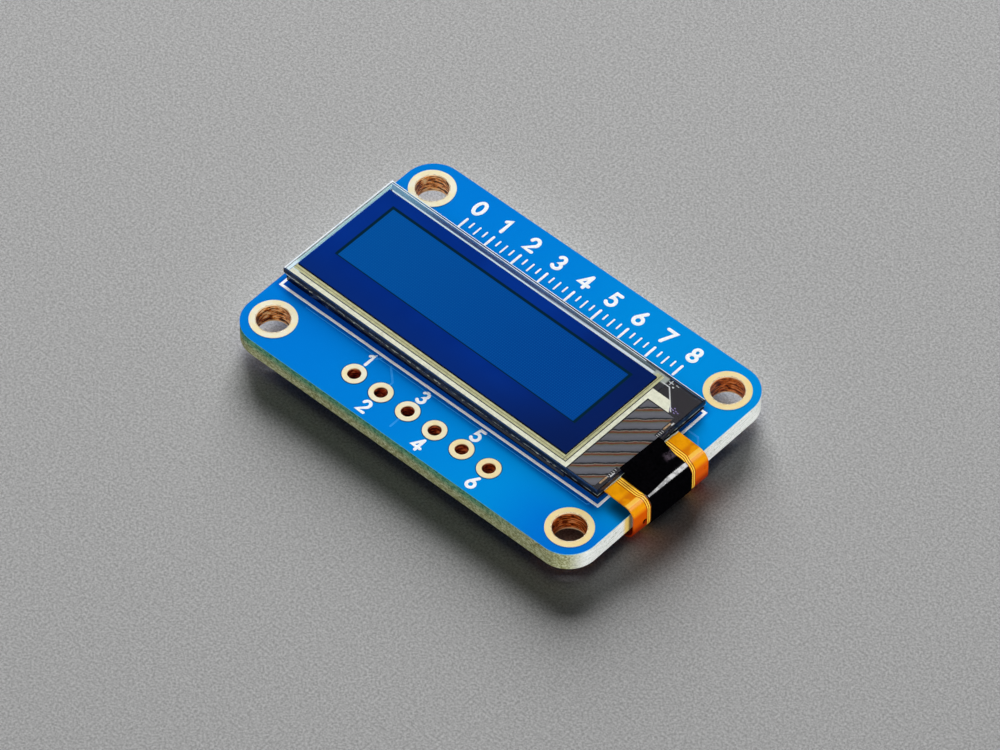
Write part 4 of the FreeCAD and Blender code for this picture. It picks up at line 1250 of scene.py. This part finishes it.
def floor():
    """A plain pale surface under the part, wide enough to fill every view."""
    mesh = bmesh.new()
    bmesh.ops.create_circle(mesh, cap_ends=True, segments=96, radius=FLOOR_RADIUS)
    bmesh.ops.translate(mesh, verts=mesh.verts, vec=(0, 0, FLOOR_LEVEL * MM))
    look = Shader("floor")
    look.colour(look.ramp(look.noise(5.5, 3, 0.8), (0.36, 176, 176, 176), (0.64, 230, 230, 230)))
    look.rough(0.9)
    ground = mesh_object("floor", mesh, look.material)
    return ground


def direction(azimuth, elevation):
    """The direction from the part to a camera or lamp, from angles in degrees."""
    around, up = math.radians(azimuth), math.radians(elevation)
    return Vector((math.sin(around) * math.cos(up), -math.cos(around) * math.cos(up), math.sin(up)))


def aim(item, place, back):
    """Sets a camera or lamp up at a place, with its back to a direction."""
    item.location = place
    item.rotation_mode = "QUATERNION"
    item.rotation_quaternion = back.to_track_quat("Z", "Y")
    bpy.context.scene.collection.objects.link(item)


def keep_to(light, objects, state):
    """Has a lamp light only some objects, or leave some out."""
    group = bpy.data.collections.new(light.name + "_group")
    for item in objects:
        group.objects.link(item)
    for child in group.collection_objects:
        child.light_linking.link_state = state
    light.light_linking.receiver_collection = group


def lamp(name, azimuth, elevation, width, height, level, mirrored=True):
    """A soft lamp that looks at the part, with angles in degrees. Unless mirrored, it leaves no highlight.

    Its level is the share of a white surface's brightness that it gives to a surface turned straight to it.
    """
    data = bpy.data.lights.new(name, "AREA")
    data.shape = "RECTANGLE"
    data.size = width
    data.size_y = height
    data.energy = level * (math.pi * LAMP_DISTANCE) ** 2
    light = bpy.data.objects.new(name, data)
    light.visible_glossy = mirrored
    light.visible_transmission = mirrored
    toward = direction(azimuth, elevation)
    aim(light, toward * LAMP_DISTANCE, toward)
    return light


def world():
    """Even light from all round, plain grey where the camera sees past the floor."""
    sky = bpy.data.worlds.new("studio")
    bpy.context.scene.world = sky
    sky.use_nodes = True
    tree = sky.node_tree
    tree.nodes.clear()
    even = add_node(tree, "Background", {"Color": (0.97, 0.985, 1.0, 1), "Strength": 0.02})
    seen = add_node(tree, "Background", {"Color": srgb(150, 150, 150)})
    rays = add_node(tree, "LightPath").outputs
    shown = rays["Is Camera Ray"]
    for ray in ("Is Glossy Ray", "Is Transmission Ray"):
        shown = add_node(tree, "Math", {0: shown, 1: rays[ray]}, operation="MAXIMUM").outputs[0]
    choice = add_node(tree, "MixShader", {0: shown, 1: even.outputs[0], 2: seen.outputs[0]})
    add_node(tree, "OutputWorld", {0: choice.outputs[0]})


def camera():
    data = bpy.data.cameras.new("camera")
    data.lens = CAMERA_LENS
    data.sensor_width = CAMERA_SENSOR
    data.clip_start = 0.01
    data.clip_end = 10
    eye = bpy.data.objects.new("camera", data)
    back = direction(CAMERA_AZIMUTH, CAMERA_ELEVATION)
    aim(eye, (Vector(CAMERA_TARGET) + back * CAMERA_DISTANCE) * MM, back)
    bpy.context.scene.camera = eye


def studio():
    """A broad lamp low behind the part, a faint one above, and two fills that leave the floor out.

    The bend lamp makes only the bright band on the bent tape and circuit.
    """
    ground = floor()
    world()
    lamp("rear", 222, 24.5, 0.6, 0.6, 1.56, mirrored=False)
    lamp("top", 120, 78, 0.5, 0.5, 0.015, mirrored=False)
    keep_to(lamp("fill", 20, 48, 0.6, 0.6, 0.53, mirrored=False), [ground], "EXCLUDE")
    keep_to(lamp("right", 84, 6, 0.5, 0.2, 0.62), [ground], "EXCLUDE")
    bend = lamp("bend", 142, 55.9, 0.5, 0.5, 1.35)
    bend.visible_diffuse = False
    keep_to(bend, [nodes["cover_tape"], nodes["flex_circuit"]], "INCLUDE")


studio()
camera()

bpy.context.scene.view_settings.view_transform = "Standard"
